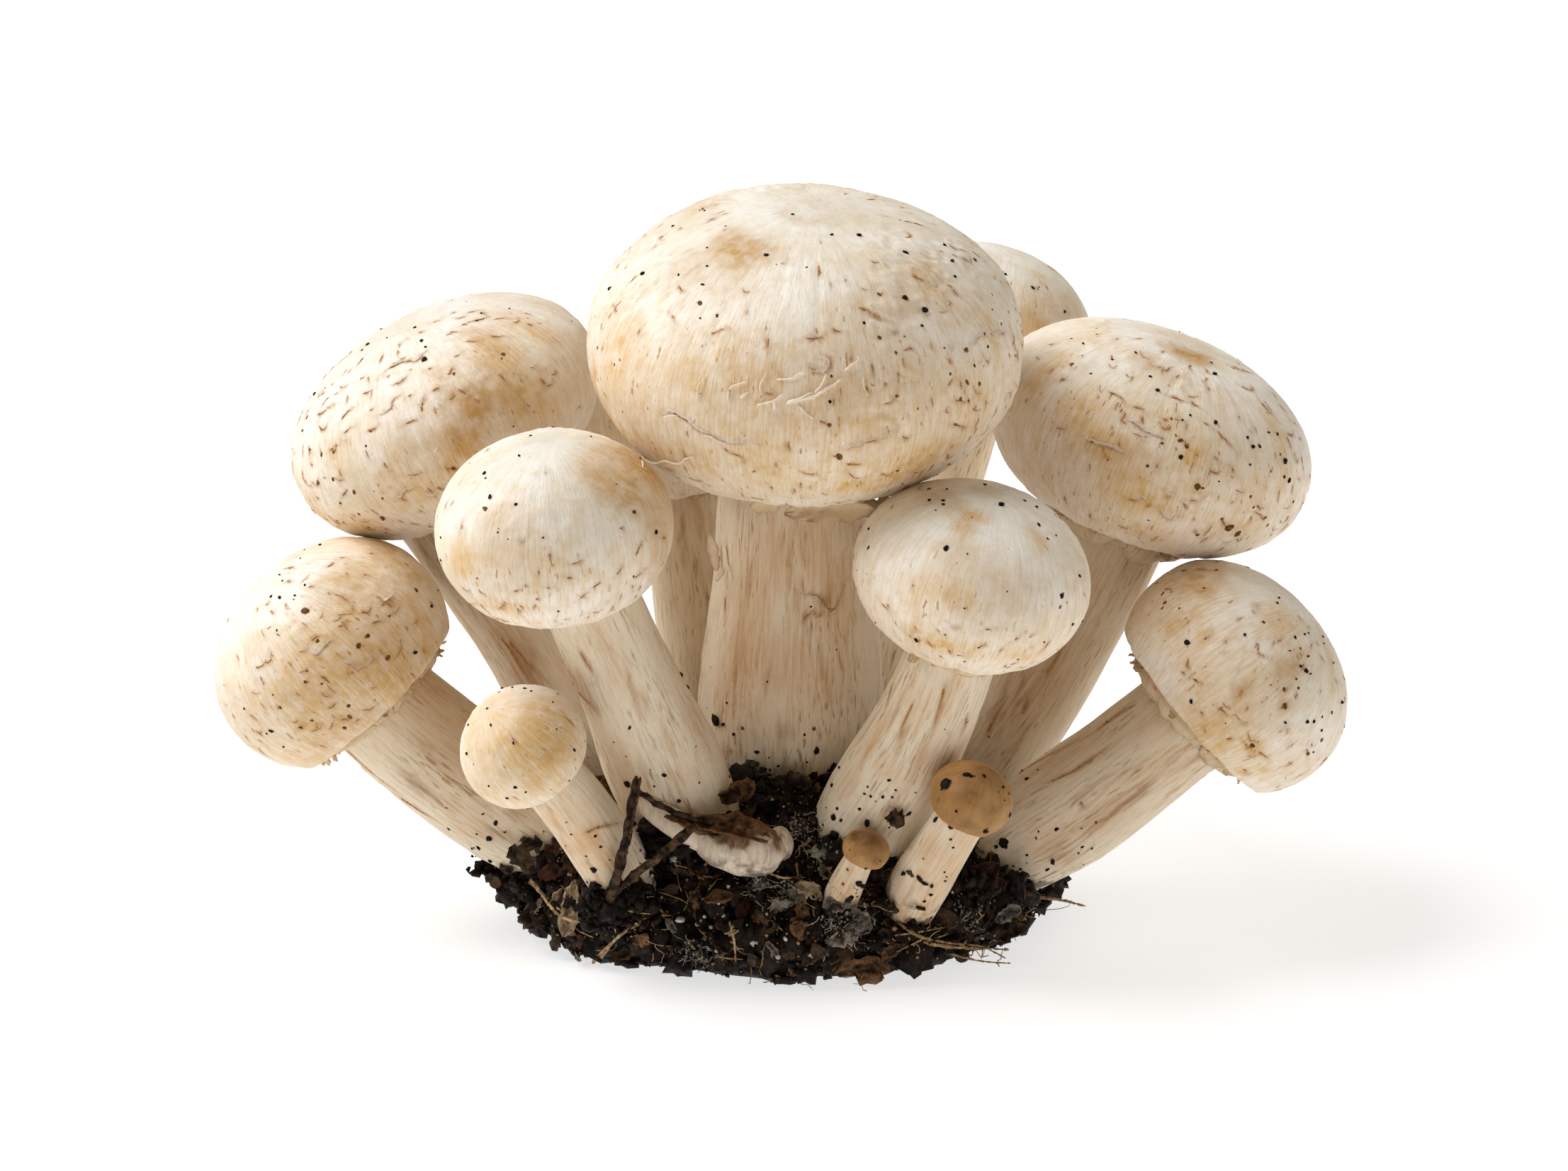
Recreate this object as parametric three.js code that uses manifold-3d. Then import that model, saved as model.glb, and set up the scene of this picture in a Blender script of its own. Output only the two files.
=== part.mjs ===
// Button mushroom cluster: closed button mushrooms grown together out of one clump of casing soil.
// Units are millimetres and +Z is up.  The origin lies on the flat underside of the soil, below the
// middle of the clump.  +X runs along the wide row of caps and -Y is the front.

import * as THREE from 'three';
import { mergeVertices } from 'three/addons/utils/BufferGeometryUtils.js';
import Module from 'manifold-3d';

const wasm = await Module();
wasm.setup();

// ---------------------------------------------------------------- shared sizes

const GAP = 0.3; // clearance between pieces that touch

const SOCKET = 0.25; // depth of the stem's socket, as a share of the height of the cap's dome
const HOLLOW = 0.06; // rise of the underside towards the stem, as a share of the cap's radius
const ROLL = 0.05; // width of the rolled edge of a cap, as a share of its radius
const LOWER_RINGS = 3; // rings of faces below the widest ring of a cap
const UPPER_RINGS = 7; // rings of faces above it
const CAP_UNEVENNESS = 0.012; // how far a cap is from round, as a share of its radius
const BROWN_BELOW = 7; // caps of a smaller radius than this are brown

const STEM_RINGS = 6;
const STEM_SIDES = 12;
const STOUT_STEM_SIDES = 16;
const STOUT_FROM = 10; // thickness at the foot from which a stem has the greater number of sides
const STEM_BOW = 0.35; // how far along its length each end of a stem holds its own direction
const FOOT_TAPER = 0.7; // radius of the rounded foot, as a share of the stem's radius there
const FOOT_DEPTH = 0.3; // depth of the rounded foot, as a share of the same

const VEIL_SIDES = 15;
const VEIL_THICKNESS = 0.9;
const VEIL_BORE = 0.6; // inner radius of the uncut veil, as a share of the neck's radius
const VEIL_LIP = 0.3; // where the lip that hangs down ends, as a share of the way to the outer edge
const VEIL_RAGGED = [ [ 5, 0.03 ], [ 8, 0.02 ] ]; // [ waves round the edge, share of the radius ]

const SOIL_SPAN = 38; // half width of the clump along X
const SOIL_DEPTH = 29; // half width of the clump along Y
const SOIL_WAIST = 6; // height at which the clump is widest
const SOIL_SIDES = 44;
const SOIL_SAG = 0.3; // how much lower the mound is at its two ends
const SOIL_LOBES = [ [ 7, 0, 0.025 ], [ 11, 2, 0.015 ] ]; // [ waves, phase, share of the half width ]
const SOIL_UNEVENNESS = 0.02;
const SOIL_LUMP = 0.05; // height of the broad lumps on top, as a share of the height above the waist
const SOIL_RIPPLE = 0.04; // height of the narrow ones

// The side of the clump from the middle of its flat underside up to the middle of its top, as
// [ share of the half width, height ].
const SOIL_PROFILE = [
	[ 0, 0 ], [ 0.84, 0 ], [ 0.93, 1.2 ], [ 1, SOIL_WAIST ], [ 0.96, 10.5 ], [ 0.86, 15 ],
	[ 0.72, 19.5 ], [ 0.54, 23 ], [ 0.36, 25 ], [ 0, 26 ]
];

const STRAND_SIDES = 6;
const STRAND_STEPS = 8;
const FLAKE_UNEVENNESS = 0.12;

// ---------------------------------------------------------------- the mushrooms
//
// A cap is placed by the middle of its widest ring.  lean tips its axis to the right and nod tips
// it to the front, in degrees.  radius is that of the widest ring, dome the height above it, belly
// the half height that the side would have below it, and tuck the depth of the margin.  fullness
// under 1 squares the shoulder of the dome.
// A stem runs from its root in the soil up into its cap, offset from the cap's middle.  rootTurn and
// neckTurn are its lean and nod at the two ends, and radii its thickness at four heights, root first.
// A veil reaches out over part of the way from the stem to the margin, and hangs down by drop.

const mushrooms = [
	{
		name: 'centre',
		cap: {
			at: [ 3, - 8, 87 ], lean: 2, nod: 8,
			radius: 30.4, dome: 19.8, belly: 19.8, tuck: 15.4, fullness: 0.98
		},
		stem: {
			root: [ 0.9, 3, 6 ], rootTurn: [ 0, 4 ],
			neckTurn: [ 1, 8 ], offset: [ - 1, 0 ],
			radii: [ 8, 12.9, 10.8, 9.5 ]
		},
		veil: { reach: 0.3, drop: 1.6 },
		sides: 28
	},
	{
		name: 'left_upper',
		cap: {
			at: [ - 48.2, 16, 70.3 ], lean: - 27, nod: 0,
			radius: 23.2, dome: 14.6, belly: 14.8, tuck: 12, fullness: 0.93
		},
		stem: {
			root: [ - 16.5, 9.5, 6 ], rootTurn: [ - 16, - 4 ],
			neckTurn: [ - 38, 0 ], offset: [ - 5.4, 0 ],
			radii: [ 5.5, 11.4, 10.8, 9.2 ]
		},
		veil: { reach: 0.8, drop: 2.6 },
		sides: 24
	},
	{
		name: 'right_upper',
		cap: {
			at: [ 52.1, 13, 67.8 ], lean: 20, nod: 1,
			radius: 23.5, dome: 14.6, belly: 15, tuck: 11.8, fullness: 0.93
		},
		stem: {
			root: [ 17.4, 9, 6 ], rootTurn: [ 40, 0 ],
			neckTurn: [ 24, 0 ], offset: [ 1, 0 ],
			radii: [ 5.5, 7.7, 7.8, 7.8 ]
		},
		veil: { reach: 0.9, drop: 3.4 },
		sides: 24
	},
	{
		name: 'left_outer',
		cap: {
			at: [ - 64, - 2, 40.3 ], lean: - 43, nod: 0,
			radius: 17.9, dome: 14.2, belly: 14.2, tuck: 9, fullness: 0.98
		},
		stem: {
			root: [ - 26, - 6, 9 ], rootTurn: [ - 56, 0 ],
			neckTurn: [ - 46, 0 ], offset: [ - 0.6, 0 ],
			radii: [ 5.5, 8, 8.4, 8.2 ]
		},
		veil: { reach: 0.8, drop: 1.6 },
		sides: 22
	},
	{
		name: 'right_outer',
		cap: {
			at: [ 63.4, - 6, 38.2 ], lean: 49, nod: - 1,
			radius: 17.8, dome: 13.7, belly: 13.6, tuck: 7.8, fullness: 0.95
		},
		stem: {
			root: [ 24.5, - 8, 9 ], rootTurn: [ 62, 0 ],
			neckTurn: [ 50, 0 ], offset: [ 0.6, 0 ],
			radii: [ 5.5, 8, 8, 7.8 ]
		},
		veil: { reach: 0.7, drop: 2 },
		sides: 22
	},
	{
		name: 'left_front',
		cap: {
			at: [ - 31.2, - 30, 67 ], lean: - 3, nod: 7,
			radius: 16.2, dome: 12.6, belly: 12.8, tuck: 10.4, fullness: 0.98
		},
		stem: {
			root: [ - 7.4, - 9, 8 ], rootTurn: [ - 28, 24 ],
			neckTurn: [ - 22, 12 ], offset: [ 2.6, 0 ],
			radii: [ 5, 8, 7, 6.4 ]
		},
		veil: { reach: 0.4, drop: 1.1 },
		sides: 22
	},
	{
		name: 'right_front',
		cap: {
			at: [ 25.7, - 28, 59.6 ], lean: 13, nod: 5,
			radius: 16.1, dome: 12.5, belly: 12.5, tuck: 9.9, fullness: 0.98
		},
		stem: {
			root: [ 5.2, - 13, 7 ], rootTurn: [ 22, 20 ],
			neckTurn: [ 12, 6 ], offset: [ 0, 0 ],
			radii: [ 4.5, 7.5, 6.8, 6.2 ]
		},
		veil: { reach: 0.75, drop: 1.6 },
		sides: 22
	},
	{
		name: 'small_left',
		cap: {
			at: [ - 35.6, - 34, 37.2 ], lean: - 37, nod: 17,
			radius: 8.8, dome: 7.9, belly: 7.9, tuck: 5.6, fullness: 1
		},
		stem: {
			root: [ - 19.5, - 18.5, 7 ], rootTurn: [ - 24, 30 ],
			neckTurn: [ - 40, 17 ], offset: [ - 0.4, 0 ],
			radii: [ 3.2, 4.8, 4.7, 4.3 ]
		},
		sides: 18
	},
	{
		name: 'small_right',
		cap: {
			at: [ 25.6, - 32.8, 29.3 ], lean: 23, nod: 9,
			radius: 5.9, dome: 4.8, belly: 4.8, tuck: 3.2, fullness: 1
		},
		stem: {
			root: [ 16.5, - 21, 5 ], rootTurn: [ 6, 22 ],
			neckTurn: [ 26, 9 ], offset: [ 0, 0 ],
			radii: [ 3, 4.1, 3.9, 3.6 ]
		},
		sides: 16
	},
	{
		name: 'tiny_right',
		cap: {
			at: [ 11.3, - 30.3, 20.9 ], lean: 20, nod: 6,
			radius: 3.4, dome: 2.6, belly: 2.6, tuck: 1.6, fullness: 1
		},
		stem: {
			root: [ 7, - 24, 6 ], rootTurn: [ 0, 22 ],
			neckTurn: [ 24, 8 ], offset: [ - 0.3, 0 ],
			radii: [ 1.8, 2.5, 2.4, 2 ]
		},
		sides: 14
	},
	{
		name: 'back_left',
		cap: {
			at: [ - 16.9, 44, 65.3 ], lean: - 6, nod: - 6,
			radius: 19.6, dome: 16.6, belly: 17, tuck: 12.8, fullness: 1
		},
		stem: {
			root: [ - 9, 22, 7 ], rootTurn: [ - 2, - 20 ],
			neckTurn: [ - 4, - 14 ], offset: [ 1.5, 0 ],
			radii: [ 5.5, 7.4, 7.2, 7 ]
		},
		veil: { reach: 0.5, drop: 1.4 },
		sides: 22
	},
	{
		name: 'back_right',
		cap: {
			at: [ 29.4, 46, 74.4 ], lean: 18, nod: - 6,
			radius: 16.2, dome: 13.2, belly: 13.4, tuck: 10.2, fullness: 1
		},
		stem: {
			root: [ 8.5, 22, 7 ], rootTurn: [ 14, - 20 ],
			neckTurn: [ 18, - 16 ], offset: [ 0, 0 ],
			radii: [ 5.5, 7, 6.8, 6.4 ]
		},
		veil: { reach: 0.5, drop: 1.4 },
		sides: 20
	}
];

// ---------------------------------------------------------------- the litter in the soil
//
// Twigs, the bark strip and roots are tubes through a few points.  Flakes are flattened chips of
// bark or leaf, with their half sizes along X, Y and Z before they are turned by angles in degrees.

const strands = [
	{
		name: 'upright_twig',
		radius: 0.7,
		points: [
			[ - 20.1, - 33.4, 32.6 ], [ - 21.4, - 33.4, 25.1 ],
			[ - 23.4, - 31.8, 16.4 ], [ - 24.2, - 27, 11 ]
		]
	},
	{
		name: 'leaning_twig',
		radius: 0.6,
		points: [ [ - 12.6, - 33.4, 25.2 ], [ - 17, - 33, 21 ], [ - 21, - 31.4, 17.2 ] ]
	},
	{
		name: 'bark_strip',
		radius: 0.8,
		points: [ [ - 19, - 30.4, 29.2 ], [ - 14.8, - 29.4, 27.4 ], [ - 10.6, - 28.4, 26 ] ]
	},
	{
		name: 'left_root',
		radius: 0.5,
		points: [ [ - 35.6, - 15.4, 11.2 ], [ - 31, - 23.6, 8.6 ], [ - 24.8, - 27.4, 8.8 ] ]
	},
	{
		name: 'front_root',
		radius: 0.5,
		points: [ [ - 26, - 22, 1.4 ], [ - 23, - 26, 6.6 ], [ - 19.4, - 28, 9.6 ] ]
	},
	{
		name: 'right_root',
		radius: 0.5,
		points: [ [ 33, - 13, 8 ], [ 38.6, - 14, 7.6 ], [ 42.6, - 15, 7 ] ]
	},
	{
		name: 'low_root',
		radius: 0.6,
		points: [ [ 15, - 28, 8.6 ], [ 21, - 26.6, 5.6 ], [ 31.6, - 18, 1.6 ] ]
	}
];

const flakes = [
	{ name: 'wood_chip', half: [ 3, 1, 1 ], at: [ - 5.8, - 22.2, 26.4 ], turn: [ 0, - 42, - 20 ] },
	{ name: 'left_bark_flake', half: [ 2.6, 1, 1.4 ], at: [ - 36.6, - 16.4, 15 ], turn: [ 0, 30, - 30 ] },
	{ name: 'middle_bark_flake', half: [ 2.6, 0.8, 1.8 ], at: [ - 25, - 7, 21.6 ], turn: [ 0, 48, 0 ] },
	{ name: 'right_bark_flake', half: [ 2.4, 1, 2.4 ], at: [ 27, - 19.4, 12.4 ], turn: [ 20, 10, 30 ] },
	{ name: 'dry_leaf_left', half: [ 1.2, 0.7, 3.2 ], at: [ - 29.6, - 21.6, 10.4 ], turn: [ 10, 14, - 40 ] },
	{ name: 'dry_leaf_middle', half: [ 1.8, 0.7, 1.4 ], at: [ 3.4, - 28, 14.4 ], turn: [ 20, 20, 0 ] },
	{ name: 'dry_leaf_front', half: [ 4.6, 0.9, 2 ], at: [ 11, - 27.6, 2.8 ], turn: [ 24, 0, 6 ] },
	{ name: 'seed_husk', half: [ 1.3, 0.7, 1 ], at: [ 15, - 30.2, 25.4 ], turn: [ 0, 30, 0 ] }
];

const pin = { half: [ 6.4, 4.2, 4 ], at: [ - 5.8, - 26.6, 20 ], turn: [ 0, 8, 0 ] };

// ---------------------------------------------------------------- materials

function material( colour, roughness ) {

	return new THREE.MeshStandardMaterial( { color: colour, roughness, metalness: 0 } );

}

const materials = {
	cap: material( '#e4d6bd', 0.62 ),
	brownCap: material( '#b08a5e', 0.6 ),
	stem: material( '#ded1c0', 0.7 ),
	veil: material( '#cdb79c', 0.75 ),
	soil: material( '#1f1712', 0.95 ),
	bark: material( '#3b2a1d', 0.85 ),
	root: material( '#a98a63', 0.8 )
};

// ---------------------------------------------------------------- geometry helpers

const radians = THREE.MathUtils.degToRad;

// The turn that a lean to the right and a nod to the front give to an upright piece.
function tilt( lean, nod ) {

	return new THREE.Euler( radians( nod ), radians( lean ), 0, 'YXZ' );

}

function direction( lean, nod ) {

	return new THREE.Vector3( 0, 0, 1 ).applyEuler( tilt( lean, nod ) );

}

// A profile of [ radius, height ] pairs turned about the Z axis.
function turned( profile, sides ) {

	const points = profile.map( ( [ radius, height ] ) => new THREE.Vector2( radius, height ) );
	return new THREE.LatheGeometry( points, sides ).rotateX( Math.PI / 2 );

}

// Moves every vertex to where the rule puts it.
function reshaped( geometry, rule ) {

	const position = geometry.attributes.position;
	const point = new THREE.Vector3();

	for ( let i = 0; i < position.count; i ++ ) {

		point.fromBufferAttribute( position, i );
		rule( point );
		position.setXYZ( i, point.x, point.y, point.z );

	}

	return geometry;

}

// A natural unevenness round a body: a factor near 1 that differs from seed to seed.
function unevenness( angle, seed, amount ) {

	return 1 + amount * ( Math.sin( 2 * angle + seed ) + 0.6 * Math.sin( 3 * angle - 1.7 * seed ) );

}

function toSolid( geometry ) {

	const bare = new THREE.BufferGeometry();
	bare.setAttribute( 'position', geometry.attributes.position.clone() );
	bare.setIndex( geometry.index ? geometry.index.clone() : null );
	const merged = mergeVertices( bare, 1e-4 );
	const corners = merged.index.array;
	const kept = [];

	for ( let i = 0; i < corners.length; i += 3 ) {

		const [ a, b, c ] = corners.slice( i, i + 3 );
		if ( a !== b && b !== c && c !== a ) kept.push( a, b, c );

	}

	return new wasm.Manifold( new wasm.Mesh( {
		numProp: 3,
		vertProperties: new Float32Array( merged.attributes.position.array ),
		triVerts: new Uint32Array( kept )
	} ) );

}

function toGeometry( solid ) {

	const { vertProperties, triVerts } = solid.getMesh();
	const geometry = new THREE.BufferGeometry();
	geometry.setAttribute( 'position', new THREE.BufferAttribute( new Float32Array( vertProperties ), 3 ) );
	geometry.setIndex( new THREE.BufferAttribute( new Uint32Array( triVerts ), 1 ) );
	geometry.computeVertexNormals();
	return geometry;

}

// ---------------------------------------------------------------- caps, veils and stems

// The radius of the margin, where the side of a cap turns under.
function marginRadius( { radius, belly, tuck } ) {

	return radius * Math.cos( Math.asin( tuck / belly ) );

}

// Turns a piece from a cap's own upright frame into the cluster's.
function onCap( cap ) {

	return new THREE.Matrix4().makeRotationFromEuler( tilt( cap.lean, cap.nod ) ).setPosition( ...cap.at );

}

// The outline of a cap from the middle of its underside, round the margin and up to the apex.
function capProfile( cap ) {

	const { radius, dome, belly, tuck, fullness } = cap;
	const lowest = Math.asin( tuck / belly );
	const profile = [
		[ 0, HOLLOW * radius - tuck ],
		[ marginRadius( cap ) - ROLL * radius, 0.2 * HOLLOW * radius - tuck ]
	];

	for ( let i = 0; i < LOWER_RINGS; i ++ ) {

		const angle = - lowest * ( 1 - i / LOWER_RINGS );
		profile.push( [ radius * Math.cos( angle ), belly * Math.sin( angle ) ] );

	}

	for ( let i = 0; i < UPPER_RINGS; i ++ ) {

		const angle = Math.PI / 2 * i / UPPER_RINGS;
		profile.push( [ radius * Math.cos( angle ) ** fullness, dome * Math.sin( angle ) ** fullness ] );

	}

	profile.push( [ 0, dome ] );
	return profile;

}

function capGeometry( cap, sides, seed ) {

	return reshaped( turned( capProfile( cap ), sides ), ( point ) => {

		const factor = unevenness( Math.atan2( point.y, point.x ), seed, CAP_UNEVENNESS );
		point.x *= factor;
		point.y *= factor;

	} ).applyMatrix4( onCap( cap ) );

}

// The torn veil: a conical collar below the underside, with a ragged outer edge.
function veilGeometry( cap, veil, neckRadius, seed ) {

	const outer = neckRadius + veil.reach * ( marginRadius( cap ) - ROLL * cap.radius - neckRadius );
	const top = - cap.tuck - GAP;
	const inner = VEIL_BORE * neckRadius;
	const lip = neckRadius + VEIL_LIP * ( outer - neckRadius );
	const profile = [
		[ inner, top ],
		[ inner, top - veil.drop ],
		[ lip, top - veil.drop ],
		[ outer, top - VEIL_THICKNESS ],
		[ outer, top ],
		[ inner, top ]
	];

	return reshaped( turned( profile, VEIL_SIDES ), ( point ) => {

		if ( Math.hypot( point.x, point.y ) < neckRadius ) return;
		const angle = Math.atan2( point.y, point.x );
		let ragged = 1;

		for ( const [ waves, share ] of VEIL_RAGGED ) {

			ragged += share * Math.sin( waves * ( angle + seed ) );

		}

		point.x *= ragged;
		point.y *= ragged;

	} ).applyMatrix4( onCap( cap ) );

}

// A stem is a turned body bent along a curve.  extra thickens it all over, to cut its socket.
function stemGeometry( { root, rootTurn, neckTurn, offset, radii }, cap, extra ) {

	const start = new THREE.Vector3( ...root );
	const inCap = HOLLOW * cap.radius + SOCKET * cap.dome - cap.tuck;
	const end = new THREE.Vector3( ...offset, inCap ).applyMatrix4( onCap( cap ) );
	const length = start.distanceTo( end );
	const curve = new THREE.CubicBezierCurve3(
		start,
		start.clone().addScaledVector( direction( ...rootTurn ), STEM_BOW * length ),
		end.clone().addScaledVector( direction( ...neckTurn ), - STEM_BOW * length ),
		end
	);
	const frames = curve.computeFrenetFrames( STEM_RINGS );
	const thickness = new THREE.CatmullRomCurve3( radii.map( ( value ) => new THREE.Vector3( value, 0, 0 ) ) );
	const [ foot ] = radii;
	const neck = radii.at( - 1 );
	const profile = [
		[ 0, - FOOT_DEPTH * foot - extra ],
		[ FOOT_TAPER * foot + extra, 0.6 * - FOOT_DEPTH * foot - extra ]
	];

	for ( let i = 0; i <= STEM_RINGS; i ++ ) {

		profile.push( [ thickness.getPoint( i / STEM_RINGS ).x + extra, length * i / STEM_RINGS ] );

	}

	profile.push( [ neck + extra, length + extra + 0.01 ], [ 0, length + extra + 0.01 ] );
	const sides = radii[ 1 ] > STOUT_FROM ? STOUT_STEM_SIDES : STEM_SIDES;

	return reshaped( turned( profile, sides ), ( point ) => {

		const along = THREE.MathUtils.clamp( point.z / length, 0, 1 );
		const ring = Math.round( along * STEM_RINGS );
		const beyond = point.z - along * length;
		const { x, y } = point;
		curve.getPointAt( along, point );
		point.addScaledVector( frames.normals[ ring ], x );
		point.addScaledVector( frames.binormals[ ring ], y );
		point.addScaledVector( frames.tangents[ ring ], beyond );

	} );

}

// ---------------------------------------------------------------- soil and litter

// The mound: flat below, steep at the sides and lumpy on top.
function soilGeometry() {

	return reshaped( turned( SOIL_PROFILE, SOIL_SIDES ), ( point ) => {

		const angle = Math.atan2( point.y, point.x );
		let outline = unevenness( angle, 0.6, SOIL_UNEVENNESS );

		for ( const [ waves, phase, share ] of SOIL_LOBES ) {

			outline += share * Math.sin( waves * angle + phase );

		}

		const lump = SOIL_LUMP * Math.sin( 5 * point.x + 2 ) * Math.sin( 6 * point.y );
		const ripple = SOIL_RIPPLE * Math.sin( 9 * angle + point.z );
		const sag = 1 - SOIL_SAG * point.x ** 2;
		const above = Math.max( point.z - SOIL_WAIST, 0 ) * sag * ( 1 + lump + ripple );
		point.z = Math.min( point.z, SOIL_WAIST ) + above;
		point.x *= outline * SOIL_SPAN;
		point.y *= outline * SOIL_DEPTH;

	} );

}

// A tube along a curve with a round section of few sides.  extra thickens and lengthens it.
function strandGeometry( { points, radius }, extra ) {

	const reach = radius + extra;
	const corners = [];

	for ( let i = 0; i < STRAND_SIDES; i ++ ) {

		const angle = 2 * Math.PI * i / STRAND_SIDES;
		corners.push( new THREE.Vector2( reach * Math.cos( angle ), reach * Math.sin( angle ) ) );

	}

	const path = points.map( ( values ) => new THREE.Vector3( ...values ) );
	const first = path[ 0 ].clone().sub( path[ 1 ] ).setLength( extra );
	const last = path.at( - 1 ).clone().sub( path.at( - 2 ) ).setLength( extra );
	path[ 0 ].add( first );
	path.at( - 1 ).add( last );

	return new THREE.ExtrudeGeometry( new THREE.Shape( corners ), {
		steps: STRAND_STEPS,
		extrudePath: new THREE.CatmullRomCurve3( path )
	} );

}

// A flattened irregular chip.  More detail gives more and smaller faces.
function flakeGeometry( { half, at, turn }, extra, seed, detail ) {

	const angles = new THREE.Euler( ...turn.map( radians ) );
	const matrix = new THREE.Matrix4().makeRotationFromEuler( angles ).setPosition( ...at );

	return reshaped( new THREE.IcosahedronGeometry( 1, detail ), ( point ) => {

		const rough = unevenness( Math.atan2( point.z, point.x ), seed, FLAKE_UNEVENNESS );
		const outward = 1 + extra / Math.min( ...half );
		point.x *= half[ 0 ] * rough + extra;
		point.y *= half[ 1 ] * outward;
		point.z *= half[ 2 ] * rough + extra;

	} ).applyMatrix4( matrix );

}

// ---------------------------------------------------------------- the cluster

const cluster = new THREE.Group();
cluster.name = 'button_mushroom_cluster';

function add( name, geometry, paint ) {

	const mesh = new THREE.Mesh( geometry, paint );
	mesh.name = name;
	cluster.add( mesh );

}

const sockets = [];

mushrooms.forEach( ( { name, cap, stem, veil, sides }, order ) => {

	const seed = 1.3 * order;
	const socket = toSolid( stemGeometry( stem, cap, GAP ) );
	const paint = cap.radius < BROWN_BELOW ? materials.brownCap : materials.cap;
	sockets.push( socket );
	add( `${ name }_stem`, stemGeometry( stem, cap, 0 ), materials.stem );
	add( `${ name }_cap`, toGeometry( toSolid( capGeometry( cap, sides, seed ) ).subtract( socket ) ), paint );

	if ( veil ) {

		const collar = toSolid( veilGeometry( cap, veil, stem.radii.at( - 1 ), seed ) );
		add( `${ name }_veil`, toGeometry( collar.subtract( socket ) ), materials.veil );

	}

} );

strands.forEach( ( strand ) => {

	const paint = strand.name.endsWith( 'root' ) ? materials.root : materials.bark;
	add( strand.name, strandGeometry( strand, 0 ), paint );
	sockets.push( toSolid( strandGeometry( strand, GAP ) ) );

} );

flakes.forEach( ( flake, seed ) => {

	const paint = flake.name.startsWith( 'dry' ) ? materials.root : materials.bark;
	add( flake.name, flakeGeometry( flake, 0, seed, 1 ), paint );
	sockets.push( toSolid( flakeGeometry( flake, GAP, seed, 1 ) ) );

} );

add( 'buried_pin', flakeGeometry( pin, 0, 3, 2 ), materials.brownCap );
sockets.push( toSolid( flakeGeometry( pin, GAP, 3, 2 ) ) );

const mound = sockets.reduce( ( soil, socket ) => soil.subtract( socket ), toSolid( soilGeometry() ) );
add( 'soil_clump', toGeometry( mound ), materials.soil );

export default cluster;
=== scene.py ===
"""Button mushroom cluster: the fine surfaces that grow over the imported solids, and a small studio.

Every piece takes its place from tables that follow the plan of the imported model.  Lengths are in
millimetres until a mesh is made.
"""

import itertools
import math

import bmesh
import bpy
import numpy as np
from mathutils import Matrix, Vector
from mathutils.bvhtree import BVHTree


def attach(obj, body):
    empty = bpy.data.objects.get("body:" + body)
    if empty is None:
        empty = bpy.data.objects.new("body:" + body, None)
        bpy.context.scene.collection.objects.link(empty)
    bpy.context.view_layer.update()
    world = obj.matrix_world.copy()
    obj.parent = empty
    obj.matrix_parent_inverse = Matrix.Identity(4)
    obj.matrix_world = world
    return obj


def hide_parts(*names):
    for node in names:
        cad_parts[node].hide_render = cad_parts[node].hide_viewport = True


bl_info = {
    "name": "Button mushroom cluster",
    "version": (1, 0, 0),
    "blender": (4, 5, 0),
    "location": "3D View > Sidebar > Mushrooms",
    "description": "Grows the skins, soil and litter of a button mushroom cluster over its solids",
    "category": "Object",
}

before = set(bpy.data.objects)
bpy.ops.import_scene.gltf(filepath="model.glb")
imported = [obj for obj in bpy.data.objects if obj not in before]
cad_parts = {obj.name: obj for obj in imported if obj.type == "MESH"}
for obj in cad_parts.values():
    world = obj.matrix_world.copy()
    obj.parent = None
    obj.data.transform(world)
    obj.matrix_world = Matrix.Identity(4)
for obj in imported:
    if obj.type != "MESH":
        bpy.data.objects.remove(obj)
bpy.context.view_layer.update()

MM = 0.001
OUTWARD = Vector((0, -0.96, 0.28))  # from the clump towards its front
FACING = np.array(OUTWARD)
FULL_TURN = 2 * math.pi
SEEDS = dict(cap=40, veil=60, stem=80, soil=7, scraps=9, litter=13)  # of the rows of random numbers

# ------------------------------------------------------------------ the mushrooms
#
# The same plan as the solids: a cap sits at "at", tipped to the right by lean and to the front by
# nod.  A stem runs from root to the cap, with its own lean and nod at either end.
# scales: where small torn scales grow, as (bearing, its spread, share of the way down, its spread,
# number, size).  Bearings are in degrees about the cap's own axis, with -90 at the front.

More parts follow.
